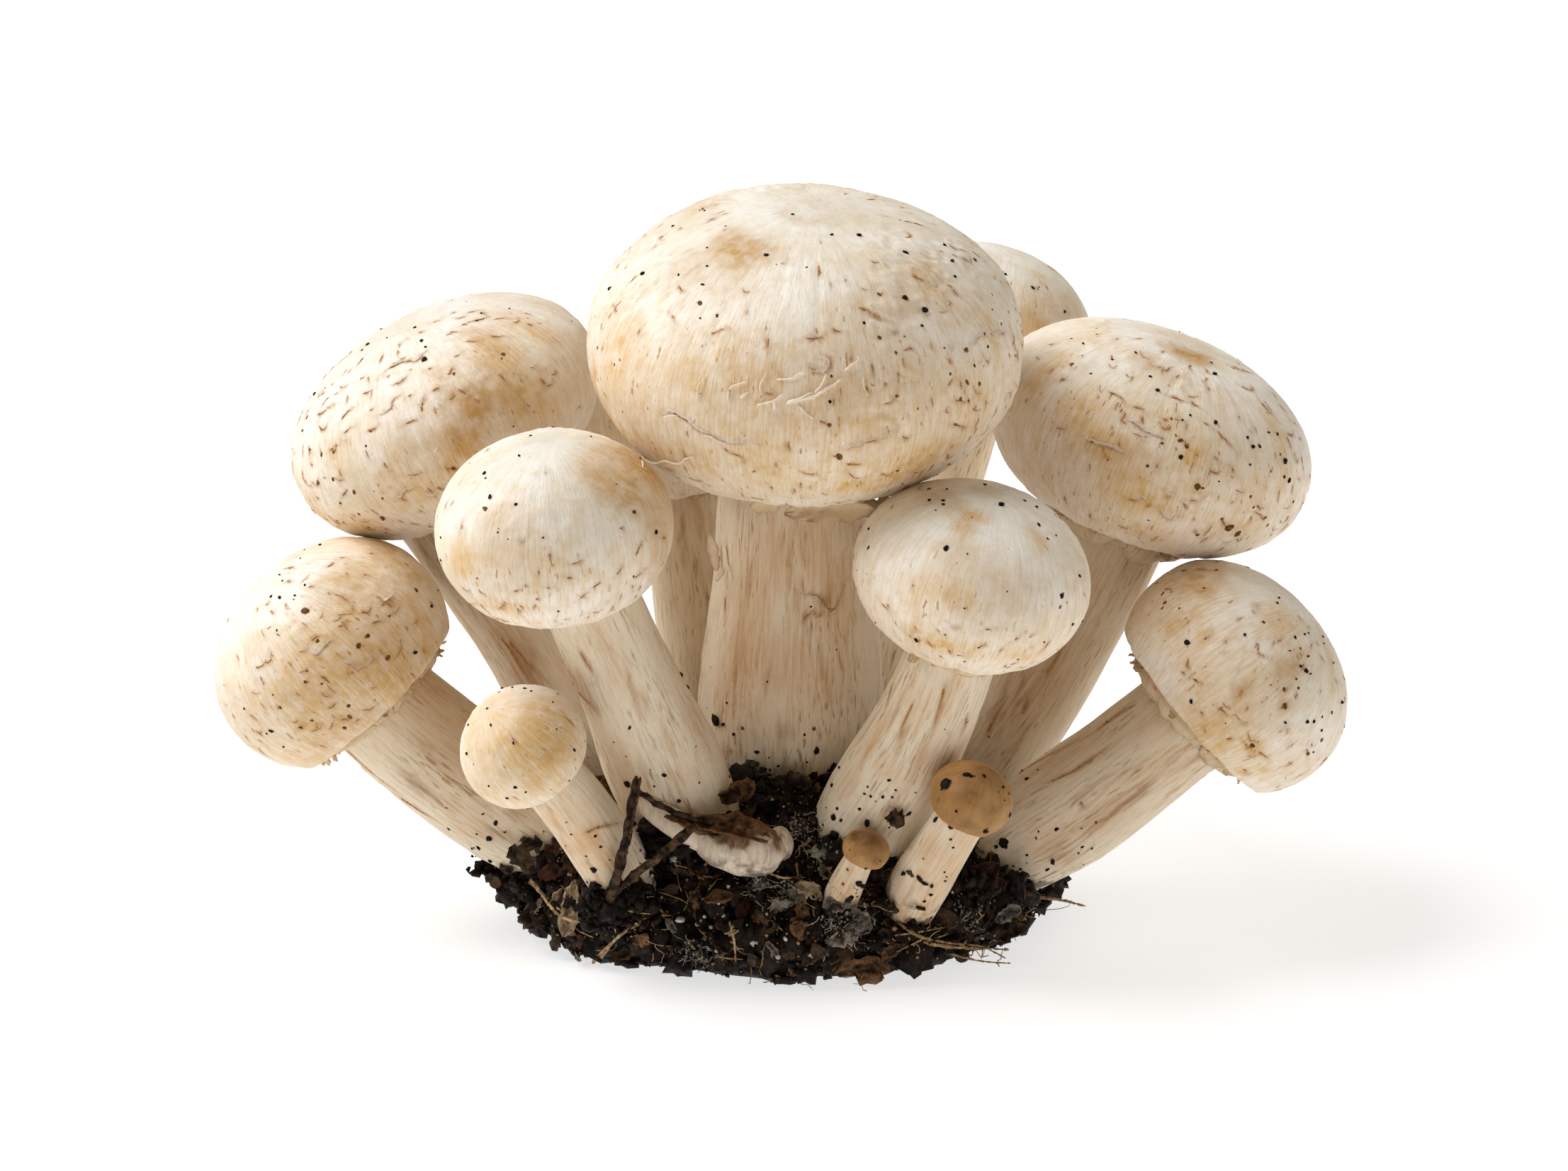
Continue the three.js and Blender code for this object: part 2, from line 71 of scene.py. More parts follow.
MUSHROOMS = [
    dict(
        name="centre", at=(3, -8, 87), lean=2, nod=8, radius=30.4, dome=19.8, belly=19.8, tuck=15.4,
        fullness=0.98, root=(0.9, 3, 6), root_turn=(0, 4), neck_turn=(1, 8), offset=(-1, 0),
        radii=(8, 12.9, 10.8, 9.5), veil=(0.3, 1.6),
        scales=[
            (-40, 50, 0.6, 0.15, 60, 2.2), (170, 40, 0.6, 0.2, 50, 1.1), (-90, 60, 0.88, 0.08, 50, 2.4),
            (90, 100, 0.5, 0.35, 120, 1.8), (-20, 30, 0.75, 0.15, 40, 2.4), (-90, 60, 0.45, 0.1, 30, 1.4),
        ],
    ),
    dict(
        name="left_upper", at=(-48.2, 16, 70.3), lean=-27, nod=0, radius=23.2, dome=14.6, belly=14.8,
        tuck=12, fullness=0.93, root=(-16.5, 9.5, 6), root_turn=(-16, -4), neck_turn=(-38, 0),
        offset=(-5.4, 0), radii=(5.5, 11.4, 10.8, 9.2), veil=(0.8, 2.6),
        scales=[
            (-150, 45, 0.45, 0.2, 50, 2.4), (-90, 60, 0.75, 0.15, 50, 2.2), (120, 90, 0.5, 0.3, 80, 1.8),
            (-60, 40, 0.3, 0.2, 30, 2.0),
        ],
    ),
    dict(
        name="right_upper", at=(52.1, 13, 67.8), lean=20, nod=1, radius=23.5, dome=14.6, belly=15,
        tuck=11.8, fullness=0.93, root=(17.4, 9, 6), root_turn=(40, 0), neck_turn=(24, 0),
        offset=(1, 0), radii=(5.5, 7.7, 7.8, 7.8), veil=(0.9, 3.4),
        scales=[
            (-70, 60, 0.5, 0.22, 90, 2.2), (-20, 50, 0.75, 0.15, 40, 2.4), (60, 90, 0.5, 0.3, 70, 1.8),
            (-130, 30, 0.35, 0.15, 20, 1.8),
        ],
    ),
    dict(
        name="left_outer", at=(-64, -2, 40.3), lean=-43, nod=0, radius=17.9, dome=14.2, belly=14.2,
        tuck=9, fullness=0.98, root=(-26, -6, 9), root_turn=(-56, 0), neck_turn=(-46, 0),
        offset=(-0.6, 0), radii=(5.5, 8, 8.4, 8.2), veil=(0.8, 1.6),
        scales=[(-90, 60, 0.72, 0.18, 70, 2.0), (60, 120, 0.5, 0.3, 60, 1.6), (-70, 40, 0.4, 0.2, 16, 2.0)],
    ),
    dict(
        name="right_outer", at=(63.4, -6, 38.2), lean=49, nod=-1, radius=17.8, dome=13.7, belly=13.6,
        tuck=7.8, fullness=0.95, root=(24.5, -8, 9), root_turn=(62, 0), neck_turn=(50, 0),
        offset=(0.6, 0), radii=(5.5, 8, 8, 7.8), veil=(0.7, 2),
        scales=[(-80, 60, 0.55, 0.25, 60, 1.8), (80, 110, 0.5, 0.3, 60, 1.6)],
    ),
    dict(
        name="left_front", at=(-31.2, -30, 67), lean=-3, nod=7, radius=16.2, dome=12.6, belly=12.8,
        tuck=10.4, fullness=0.98, root=(-7.4, -9, 8), root_turn=(-28, 24), neck_turn=(-22, 12),
        offset=(2.6, 0), radii=(5, 8, 7, 6.4), veil=(0.4, 1.1),
        scales=[(-85, 60, 0.85, 0.1, 34, 1.8), (90, 120, 0.6, 0.3, 40, 1.5), (-80, 60, 0.5, 0.2, 10, 1.4)],
    ),
    dict(
        name="right_front", at=(25.7, -28, 59.6), lean=13, nod=5, radius=16.1, dome=12.5, belly=12.5,
        tuck=9.9, fullness=0.98, root=(5.2, -13, 7), root_turn=(22, 20), neck_turn=(12, 6),
        offset=(0, 0), radii=(4.5, 7.5, 6.8, 6.2), veil=(0.75, 1.6),
        scales=[(-80, 60, 0.85, 0.1, 26, 1.6), (90, 120, 0.6, 0.3, 40, 1.5)],
    ),
    dict(
        name="small_left", at=(-35.6, -34, 37.2), lean=-37, nod=17, radius=8.8, dome=7.9, belly=7.9,
        tuck=5.6, fullness=1, root=(-19.5, -18.5, 7), root_turn=(-24, 30), neck_turn=(-40, 17),
        offset=(-0.4, 0), radii=(3.2, 4.8, 4.7, 4.3), veil=None,
        scales=[(-90, 180, 0.7, 0.2, 12, 0.9)],
    ),
    dict(
        name="small_right", at=(25.6, -32.8, 29.3), lean=23, nod=9, radius=5.9, dome=4.8, belly=4.8,
        tuck=3.2, fullness=1, root=(16.5, -21, 5), root_turn=(6, 22), neck_turn=(26, 9),
        offset=(0, 0), radii=(3, 4.1, 3.9, 3.6), veil=None, scales=[],
    ),
    dict(
        name="tiny_right", at=(11.3, -30.3, 20.9), lean=20, nod=6, radius=3.4, dome=2.6, belly=2.6,
        tuck=1.6, fullness=1, root=(7, -24, 6), root_turn=(0, 22), neck_turn=(24, 8),
        offset=(-0.3, 0), radii=(1.8, 2.5, 2.4, 2), veil=None, scales=[],
    ),
    dict(
        name="back_left", at=(-16.9, 44, 65.3), lean=-6, nod=-6, radius=19.6, dome=16.6, belly=17,
        tuck=12.8, fullness=1, root=(-9, 22, 7), root_turn=(-2, -20), neck_turn=(-4, -14),
        offset=(1.5, 0), radii=(5.5, 7.4, 7.2, 7), veil=(0.5, 1.4),
        scales=[(90, 180, 0.55, 0.3, 90, 2.0)],
    ),
    dict(
        name="back_right", at=(29.4, 46, 74.4), lean=18, nod=-6, radius=16.2, dome=13.2, belly=13.4,
        tuck=10.2, fullness=1, root=(8.5, 22, 7), root_turn=(14, -20), neck_turn=(18, -16),
        offset=(0, 0), radii=(5.5, 7, 6.8, 6.4), veil=(0.5, 1.4),
        scales=[(90, 180, 0.55, 0.3, 80, 1.7)],
    ),
]
BROWN = ("small_right", "tiny_right")

# What time and handling left on the caps, each at (bearing, thousandths of the way down to the
# margin): bruises and tan patches with (reach across, reach down, strength), torn lines, peeled
# threads, pits and specks of soil with a size.  A few of the bruise and tan patches are painted shade
# where a cap lies in shadow, and they are marked so.  The same for the stems, from the root upwards.

MARKS = dict(
    centre=dict(bruises=[
        (-134, 242, 6, 4, 0.95), (-137, 330, 7, 5, 0.35), (-116, 72, 3.6, 1.4, 0.35),
        (-38, 343, 5, 3.5, 0.3), (-57, 403, 5.5, 4.5, 0.38), (-85, 597, 7, 5, 0.28), (-98, 686, 6, 5, 0.2),
        # (-97, 600, 11, 9) on the next line is painted shade on the shadowed lower front.
        (-97, 600, 11, 9, 0.22), (-46, 700, 8, 7, 0.25), (-49, 792, 6, 3, 0.35), (-72, 669, 5, 5, 0.2),
        (100, 500, 7, 6, 0.4), (150, 300, 5, 5, 0.3), (60, 350, 5, 4, 0.3),
    ], tans=[
        # (-95, 640, 26, 12) on the next line is painted shade on the shadowed lower front.
        (-95, 640, 26, 12, 0.35), (-159, 852, 4.5, 5, 0.85), (-150, 911, 5, 3, 0.8),
        (-164, 775, 2.2, 6, 0.5), (-148, 610, 4, 7, 0.4), (-56, 797, 6, 4, 0.5), (-68, 847, 6, 2, 0.6),
        (-138, 593, 2.5, 3, 0.4), (-36, 419, 4, 6, 0.3), (-26, 547, 3, 7, 0.35), (-125, 797, 7, 3, 0.35),
        (-157, 513, 4, 6, 0.25), (-78, 398, 5, 3, 0.25), (-89, 758, 8, 3, 0.25), (-39, 665, 5, 6, 0.3),
        (-110, 466, 7, 4, 0.15), (60, 700, 8, 5, 0.4), (120, 800, 8, 4, 0.5), (20, 500, 5, 6, 0.3),
        (90, 250, 6, 4, 0.3),
    ], ledges=[
        [
            (-128, 691), (-125, 674), (-121, 682), (-118, 699), (-115, 712), (-111, 725), (-106, 716),
            (-105, 703), (-102, 716),
        ],
        [(-111, 737), (-110, 750), (-106, 763), (-106, 784)],
        [(-80, 725), (-78, 720), (-74, 708), (-70, 703), (-68, 695), (-66, 686), (-66, 674)],
        [(-14, 581), (-22, 555), (-28, 538), (-33, 534), (-37, 542), (-41, 555)],
        [(-92, 462), (-88, 462), (-86, 458), (-84, 445)],
        [(-90, 517), (-89, 530), (-87, 538), (-85, 538), (-84, 521), (-84, 508), (-88, 504)],
        [(-83, 436), (-81, 445), (-79, 445)], [(-70, 623), (-68, 619), (-67, 614), (-66, 602)],
        [(-48, 648), (-44, 661), (-42, 669)], [(-48, 708), (-44, 725), (-40, 742)],
        [(-83, 742), (-81, 746), (-80, 758)], [(-79, 767), (-77, 771), (-74, 767)],
        [(-104, 809), (-102, 792)], [(-91, 784), (-89, 797), (-87, 797), (-85, 809)],
        [(-78, 792), (-76, 814), (-73, 818)], [(-69, 805), (-66, 822), (-63, 805)],
        [(-87, 648), (-85, 657), (-84, 665)], [(-74, 386), (-70, 398), (-68, 415), (-63, 432)],
        [(-42, 326), (-42, 347), (-40, 369)], [(-50, 614), (-48, 602), (-47, 593)],
        [(-120, 483), (-118, 475), (-116, 462), (-114, 462)], [(-141, 398), (-138, 407), (-135, 407)],
        [(-135, 470), (-132, 479)], [(-62, 508), (-59, 504), (-58, 513)],
        [(-72, 521), (-72, 538), (-72, 555)], [(-74, 572), (-74, 593)],
    ], threads=[
        [(-110, 619), (-110, 597), (-109, 585), (-106, 572), (-106, 559)],
        [(-107, 610), (-106, 602), (-105, 593)], [(-102, 627), (-102, 619), (-98, 606), (-96, 589)],
        [(-98, 559), (-94, 555), (-92, 542), (-90, 547), (-90, 555)],
        [(-102, 589), (-102, 572), (-101, 551), (-101, 542)],
        [(-95, 614), (-94, 606), (-90, 597), (-88, 593), (-85, 576), (-83, 568), (-81, 555)],
        [(-94, 610), (-90, 589), (-88, 585)], [(-88, 585), (-86, 564), (-85, 542)],
        [(-80, 538), (-78, 525), (-76, 517), (-76, 504)], [(-75, 555), (-75, 576), (-74, 597)],
        [(-116, 712), (-114, 712), (-112, 720), (-110, 725)],
        [(-148, 894), (-138, 864), (-130, 822), (-125, 814), (-123, 797), (-120, 784)],
        [(-127, 691), (-125, 682), (-123, 678)], [(-92, 614), (-90, 631), (-88, 644)],
        [(-118, 631), (-118, 602), (-117, 581)], [(-98, 627), (-98, 602)],
    ], pits=[
        (-128, 419, 0.9), (-120, 436, 0.7), (-40, 547, 0.9), (-18, 542, 0.7), (-66, 606, 0.6),
        (-45, 653, 0.8), (-42, 665, 0.6), (-63, 360, 0.7), (-68, 466, 0.8), (-60, 475, 0.5),
        (-64, 508, 0.6), (-48, 525, 0.5), (-42, 619, 0.8), (-37, 636, 0.7), (-81, 746, 0.9),
        (-63, 814, 0.6), (-57, 894, 0.5), (-84, 661, 0.6), (-48, 585, 0.5), (-30, 534, 0.6), (-9, 542, 0.5),
        (-13, 479, 0.6), (-144, 733, 0.5), (-146, 614, 0.5), (-148, 631, 0.4), (-160, 631, 0.5),
        (-158, 703, 0.5), (-46, 716, 0.5), (-60, 644, 0.5), (-78, 771, 0.6),
    ], specks=[
        (-160, 428, 0.6), (-170, 513, 0.5), (-132, 373, 0.45), (-145, 377, 0.4), (-125, 453, 0.3),
        (-115, 237, 0.45), (-70, 140, 0.45), (-47, 165, 0.65), (-34, 271, 0.6), (-54, 386, 0.6),
        (-49, 428, 0.8), (-16, 356, 0.5), (-23, 386, 0.5), (-6, 322, 0.5), (-84, 606, 0.55),
        (-72, 428, 0.35), (-53, 462, 0.35), (-138, 322, 0.4), (-38, 589, 0.35), (172, 331, 0.35),
        (-140, 55, 0.4), (0, 407, 0.4), (-30, 564, 0.35), (162, 267, 0.4),
    ]),
    left_upper=dict(bruises=[
        (-71, 582, 4.5, 5, 0.95), (-81, 626, 3.5, 3, 0.7), (-48, 434, 2.5, 5, 0.5), (-102, 604, 4, 5, 0.3),
        (-59, 566, 3, 6, 0.6), (-81, 676, 1.2, 1.6, 0.8), (90, 500, 6, 5, 0.5),
    ], tans=[
        (-83, 725, 3.5, 3, 0.7), (-50, 478, 4, 5, 0.5), (-156, 731, 3, 4, 0.45), (-133, 808, 4, 2, 0.45),
        (-100, 747, 5, 3, 0.35), (-126, 544, 3, 3, 0.25), (-29, 429, 4, 3, 0.4), (-52, 643, 4, 7, 0.4),
        (-27, 511, 3, 4, 0.5), (-73, 412, 3, 3, 0.2), (-111, 731, 5, 4, 0.2), (140, 700, 6, 5, 0.4),
        (40, 600, 6, 5, 0.4), (110, 300, 4, 4, 0.3),
    ], ledges=[
        [(-148, 396), (-142, 396), (-138, 374), (-132, 368)],
        [(-142, 429), (-137, 456), (-135, 445), (-134, 434)], [(-126, 440), (-123, 418), (-119, 401)],
        [(-124, 489), (-121, 478), (-118, 473)], [(-115, 363), (-112, 363), (-108, 357)],
        [(-112, 505), (-110, 505), (-107, 505), (-106, 495)],
        [(-105, 467), (-102, 467), (-99, 462), (-98, 440), (-94, 429)],
        [(-102, 302), (-94, 291), (-84, 302), (-81, 324), (-76, 313), (-72, 302)],
        [(-98, 374), (-95, 379), (-92, 379), (-90, 374), (-88, 368)], [(-96, 533), (-93, 533), (-90, 533)],
        [(-88, 527), (-87, 505), (-85, 484), (-84, 467)], [(-81, 473), (-78, 473), (-76, 478)],
        [(-72, 451), (-70, 445), (-68, 434), (-65, 429)], [(-54, 368), (-52, 385), (-50, 401)],
        [(-44, 407), (-41, 434), (-38, 456)], [(-31, 363), (-28, 385), (-26, 407)],
        [(-132, 527), (-129, 522), (-127, 516), (-124, 511)], [(-129, 544), (-128, 527), (-128, 516)],
        [(-132, 676), (-128, 659), (-127, 654)],
        [(-111, 742), (-109, 736), (-106, 725), (-105, 725), (-103, 725)],
        [(-90, 709), (-87, 725), (-85, 736)], [(-136, 813), (-136, 830), (-132, 830)],
        [(-96, 753), (-94, 775), (-92, 775)], [(-140, 330), (-135, 324)], [(-66, 181), (-60, 192)],
        [(-64, 401), (-60, 401)], [(-110, 440), (-107, 434)], [(-45, 170), (-38, 187)],
        [(-26, 258), (-21, 286)], [(-146, 500), (-144, 516), (-143, 522)],
        [(-137, 511), (-136, 533), (-136, 538)], [(-78, 385), (-74, 390)], [(-91, 451), (-88, 445)],
        [(-121, 291), (-116, 286)], [(-44, 297), (-40, 313)], [(-17, 429), (-16, 456)],
        [(-25, 462), (-25, 489)],
    ], threads=[
        [(-152, 923), (-152, 923), (-153, 923)], [(-81, 511), (-80, 538)], [(-90, 654), (-88, 643)],
    ], pits=[
        (-158, 407, 0.8), (-144, 511, 0.7), (-136, 533, 0.8), (-129, 533, 0.7), (-141, 615, 1),
        (-132, 615, 0.6), (-125, 670, 1), (-134, 692, 0.7), (-130, 747, 0.6), (-123, 791, 1),
        (-134, 819, 0.6), (-116, 720, 0.4), (-69, 456, 0.6), (-48, 495, 0.7), (-50, 505, 0.5),
        (-94, 533, 0.5), (-138, 451, 0.5), (-110, 511, 0.5), (-94, 374, 0.4), (-87, 725, 0.7),
    ], specks=[
        (-166, 110, 0.5), (-76, 335, 0.65), (-71, 286, 0.35), (-70, 242, 0.5), (-60, 126, 0.5),
        (-114, 88, 0.35), (-156, 137, 0.3), (-156, 451, 0.35), (-171, 335, 0.45), (-26, 308, 0.35),
        (118, 176, 0.35), (-36, 324, 0.3),
    ]),
    right_upper=dict(bruises=[
        (-70, 620, 10, 8, 0.18), (-87, 104, 4, 3, 1), (-127, 115, 2.4, 1.4, 0.6), (-118, 275, 3, 3, 0.45),
        (-100, 280, 3.5, 2.5, 0.45), (-104, 643, 7, 4, 0.4), (-70, 319, 6, 4, 0.18), (110, 450, 6, 5, 0.5),
    ], tans=[
        (-124, 582, 4, 5, 0.5), (-113, 615, 5, 3, 0.6), (-96, 742, 7, 4, 0.5), (-92, 874, 7, 3, 0.35),
        (-38, 451, 2.5, 8, 0.5), (-82, 560, 2.5, 3, 0.6), (-150, 505, 2, 5, 0.45), (-154, 297, 6, 3, 0.3),
        (-77, 654, 3, 2, 0.4), (-56, 758, 4, 2, 0.4), (-96, 500, 8, 3, 0.25), (104, 110, 8, 2, 0.3),
        (-57, 643, 5, 6, 0.2), (60, 700, 7, 5, 0.4), (150, 600, 6, 5, 0.4),
    ], ledges=[
        [(-120, 637), (-116, 637), (-111, 626), (-107, 626), (-104, 626)],
        [(-110, 527), (-106, 527), (-103, 538), (-99, 538), (-94, 538), (-93, 555)],
        [(-123, 473), (-118, 467), (-114, 473), (-112, 484)], [(-111, 484), (-106, 473), (-104, 478)],
        [(-87, 368), (-84, 379), (-80, 390)], [(-98, 379), (-92, 379), (-88, 379)],
        [(-86, 758), (-83, 775), (-81, 780), (-81, 764), (-80, 747)], [(-80, 709), (-78, 720), (-76, 731)],
        [(-98, 758), (-96, 758), (-93, 742)], [(-88, 522), (-86, 527), (-84, 538)],
        [(-74, 451), (-71, 473), (-68, 489), (-65, 511)], [(-74, 544), (-71, 555)],
        [(-64, 725), (-61, 747), (-58, 764), (-57, 742)], [(-52, 687), (-47, 698), (-44, 714), (-44, 698)],
        [(-142, 522), (-140, 505)], [(-145, 462), (-142, 462)], [(-51, 797), (-48, 813), (-49, 780)],
        [(-81, 560), (-80, 549)], [(-78, 698), (-74, 687)], [(-66, 566), (-64, 582)],
        [(-80, 440), (-76, 445)], [(-97, 478), (-94, 473)], [(-91, 764), (-89, 747)],
        [(40, 247), (32, 264)], [(-4, 181), (1, 231)], [(-93, 462), (-88, 462)], [(-109, 544), (-112, 533)],
        [(-165, 462), (-163, 440)],
    ], threads=[
        [(-73, 681), (-72, 654)], [(-98, 484), (-100, 495)],
    ], pits=[
        (-163, 390, 0.6), (-144, 456, 0.8), (-94, 555, 0.6), (-88, 527, 0.8), (-85, 538, 0.7),
        (-77, 648, 0.9), (-75, 648, 0.6), (-96, 637, 0.6), (-58, 758, 1.2), (-52, 780, 1), (-44, 709, 0.8),
        (-55, 643, 0.5), (-52, 676, 0.6), (-90, 516, 0.45), (-40, 736, 0.6), (-63, 731, 0.6),
        (-88, 813, 0.4), (-68, 813, 0.5), (-40, 500, 0.5), (-47, 555, 0.4), (-70, 615, 0.4),
        (-171, 297, 0.35), (-162, 308, 0.35),
    ], specks=[
        (-104, 379, 0.5), (-62, 192, 0.6), (-74, 429, 0.75), (-56, 484, 0.75), (-38, 522, 0.75),
        (-86, 577, 0.5), (-58, 544, 0.4), (-86, 429, 0.3), (-89, 456, 0.35), (-44, 429, 0.45),
        (-52, 478, 0.4), (-36, 582, 0.55), (-39, 571, 0.35), (-50, 121, 0.4), (-111, 335, 0.35),
        (-134, 352, 0.3), (-134, 445, 0.3), (-131, 264, 0.35), (-154, 374, 0.35), (-58, 456, 0.35),
        (-38, 434, 0.35), (-30, 654, 0.3),
    ]),
    left_outer=dict(bruises=[
        # In left_outer the bruise (-101, 900) and the tan (-84, 700) are painted shade on the lower flank.
        (-101, 900, 9, 3.5, 0.45), (-48, 493, 6, 4, 0.4), (-12, 671, 3, 5, 0.55), (2, 543, 6, 2, 0.7),
        (-62, 786, 6, 6, 0.5), (-76, 664, 5, 5, 0.35), (-88, 900, 6, 3, 0.35), (-98, 707, 5, 5, 0.25),
        (100, 500, 5, 5, 0.4),
    ], tans=[
        (6, 500, 5, 6, 0.4), (-84, 700, 22, 9, 0.4), (-34, 557, 5, 5, 0.4), (-31, 807, 3, 7, 0.5),
        (-62, 921, 5, 6, 0.5), (-68, 521, 5, 3, 0.25), (-94, 707, 6, 6, 0.3), (-100, 593, 3, 6, 0.25),
        (-36, 914, 3, 3, 0.6), (49, 164, 5, 2, 0.3), (60, 700, 6, 5, 0.4), (150, 650, 5, 5, 0.3),
    ], ledges=[
        [(-78, 543), (-74, 550), (-72, 564)], [(-80, 564), (-80, 600), (-76, 600), (-72, 600), (-70, 607)],
        [(-73, 686), (-72, 729), (-70, 764), (-64, 771), (-62, 757)], [(-44, 657), (-39, 664), (-34, 671)],
        [(-53, 671), (-50, 686), (-48, 700)], [(-64, 586), (-61, 593)], [(-112, 664), (-109, 657)],
        [(-102, 871), (-98, 857), (-96, 843)], [(-94, 864), (-90, 893)], [(-112, 779), (-107, 779)],
        [(-92, 657), (-90, 650)], [(-94, 786), (-91, 800), (-88, 793)], [(-90, 921), (-86, 929)],
        [(-90, 714), (-90, 750), (-87, 757)], [(-72, 321), (-76, 364)], [(-74, 743), (-74, 764)],
    ], threads=[
        [(-40, 657), (-36, 664), (-34, 671)],
    ], pits=[
        (-68, 429, 1.3), (-75, 564, 0.6), (-58, 693, 0.8), (-64, 693, 0.8), (-90, 886, 0.9),
        (-103, 786, 0.6), (-110, 779, 0.8), (-96, 907, 0.8), (-86, 843, 0.6), (-109, 607, 0.5),
        (-20, 736, 0.7), (-44, 707, 0.5), (-92, 650, 0.5), (-58, 814, 0.8), (-110, 664, 0.5),
        (-88, 621, 0.6), (-87, 700, 0.5),
    ], specks=[
        (-77, 221, 0.4), (-72, 271, 0.45), (-64, 336, 0.4), (-54, 343, 0.4), (-46, 157, 0.4),
        (-56, 207, 0.3), (7, 286, 0.4), (10, 221, 0.3), (-16, 214, 0.3), (-88, 400, 0.35), (-45, 893, 0.6),
        (-125, 721, 0.55), (-129, 721, 0.4), (-128, 807, 0.4), (-18, 829, 0.5),
    ]),
    # In right_outer the bruise (-168, 580) is a painted shadow where the cap above overhangs this one.
    right_outer=dict(bruises=[
        (-168, 580, 6, 5, 0.85), (-150, 700, 4, 4, 0.3), (-100, 699, 1.6, 2.2, 0.9),
        (-132, 406, 0.9, 0.9, 0.8), (-90, 489, 2.5, 4, 0.7), (-164, 737, 4, 4, 0.4), (-101, 902, 5, 5, 0.3),
        (-96, 782, 5, 5, 0.25), (-172, 466, 7, 1.6, 0.6), (-80, 617, 1, 1.5, 0.8), (100, 450, 5, 5, 0.4),
    ], tans=[
        (-115, 361, 3, 5, 0.55), (-149, 586, 3, 2.5, 0.4), (-143, 752, 1, 2.4, 0.6),
        (-141, 654, 1.4, 1.8, 0.5), (-76, 820, 2.2, 1.4, 0.8), (-83, 925, 1.6, 2.2, 0.6),
        (-64, 940, 1.6, 1, 0.7), (-59, 865, 1.6, 1, 0.6), (-50, 278, 1.2, 6, 0.5), (-129, 669, 1, 2, 0.5),
        (-95, 947, 4, 4, 0.4), (-80, 353, 3, 3, 0.3), (-118, 654, 8, 5, 0.2), (50, 700, 6, 5, 0.4),
        (140, 650, 5, 5, 0.3),
    ], ledges=[
        [(-118, 827), (-116, 820), (-112, 805)], [(-101, 820), (-97, 812), (-94, 805)],
        [(-104, 895), (-101, 887)], [(-80, 835), (-76, 835), (-74, 812)],
        [(-72, 820), (-68, 812), (-64, 812)], [(-86, 887), (-84, 850)], [(-66, 925), (-62, 925)],
        [(-96, 932), (-93, 947)], [(-168, 714), (-162, 677)], [(-86, 571), (-85, 541)],
        [(-81, 632), (-80, 602)], [(-124, 850), (-120, 835)], [(-176, 556), (-172, 511)],
        [(-128, 692), (-128, 662)], [(-53, 669), (-47, 692)],
    ], pits=[
        (-172, 474, 1), (-178, 609, 0.7), (158, 338, 0.8), (-155, 564, 0.55), (178, 737, 0.55),
        (-165, 729, 0.7), (-162, 692, 0.5), (-156, 759, 0.5), (-149, 699, 0.6), (-158, 737, 0.7),
        (-120, 429, 0.7), (-92, 353, 0.6), (-97, 414, 0.5), (-86, 564, 0.7), (-80, 609, 0.9),
        (-46, 602, 0.7), (-49, 684, 0.8), (-76, 1015, 0.7), (-76, 820, 0.8), (-116, 820, 0.5),
    ], specks=[
        (-132, 752, 0.7), (-119, 541, 0.5), (-140, 241, 0.35), (-100, 331, 0.4), (-110, 895, 0.55),
        (-35, 414, 0.5), (-48, 481, 0.35), (-51, 571, 0.4), (-74, 654, 0.4), (-64, 586, 0.5),
        (-86, 429, 0.5), (-81, 421, 0.6), (-91, 218, 0.35), (-54, 135, 0.35), (-59, 180, 0.35),
        (-84, 353, 0.4), (-46, 256, 0.35), (-60, 564, 0.35), (-56, 526, 0.35), (-84, 489, 0.3),
        (-80, 511, 0.3), (-77, 414, 0.35),
    ]),
    left_front=dict(bruises=[
        (2, 370, 5, 5, 0.7), (8, 560, 4, 4, 0.3), (-36, 371, 5, 4.5, 0.75), (5, 364, 2.5, 3, 0.5),
        (-25, 607, 3, 7, 0.55), (-110, 479, 6, 5, 0.2), (-92, 500, 1, 1, 0.5), (100, 500, 5, 4, 0.4),
    ], tans=[
        (0, 400, 8, 8, 0.5), (-137, 629, 2.4, 2.4, 0.75), (-20, 200, 5, 2, 0.4), (-118, 457, 3, 5, 0.25),
        (-102, 614, 7, 5, 0.2), (-22, 429, 4, 6, 0.35), (-120, 807, 5, 1.5, 0.4), (140, 700, 5, 4, 0.4),
    ], ledges=[
        [(-152, 879), (-142, 857), (-133, 821)], [(-122, 843), (-117, 807), (-113, 779), (-111, 750)],
        [(-108, 721), (-104, 700)], [(-98, 757), (-95, 743)], [(-92, 700), (-89, 707)],
        [(-70, 729), (-66, 714), (-64, 693)], [(-57, 700), (-54, 686), (-52, 657)],
        [(-45, 650), (-42, 629), (-38, 593)], [(-76, 771), (-72, 743)],
        [(-45, 743), (-42, 743), (-36, 729)], [(-102, 679), (-101, 707)],
        [(-80, 614), (-75, 607), (-72, 593)], [(-82, 664), (-78, 671)],
    ], threads=[
        [(10, 386), (0, 386), (2, 407)],
    ], pits=[
        (-128, 407, 0.9), (-92, 500, 0.45), (-116, 486, 0.35), (-110, 507, 0.35), (-38, 486, 0.6),
        (-45, 736, 0.5), (-116, 471, 0.3),
    ], specks=[
        (-129, 357, 0.6), (-27, 600, 0.5), (-150, 279, 0.4), (-109, 371, 0.35), (-135, 143, 0.4),
        (28, 186, 0.35), (-144, 293, 0.25), (134, 93, 0.3), (-158, 686, 0.4), (-156, 586, 0.35),
    ]),
    right_front=dict(bruises=[
        (-86, 511, 7, 5, 0.28), (-167, 241, 7, 2.5, 0.45), (-102, 613, 1.8, 1.6, 0.45),
        (90, 450, 5, 4, 0.35),
    ], tans=[
        (-111, 226, 2, 1.4, 0.8), (-112, 292, 1.6, 2, 0.6), (-104, 591, 2.6, 1.8, 0.35),
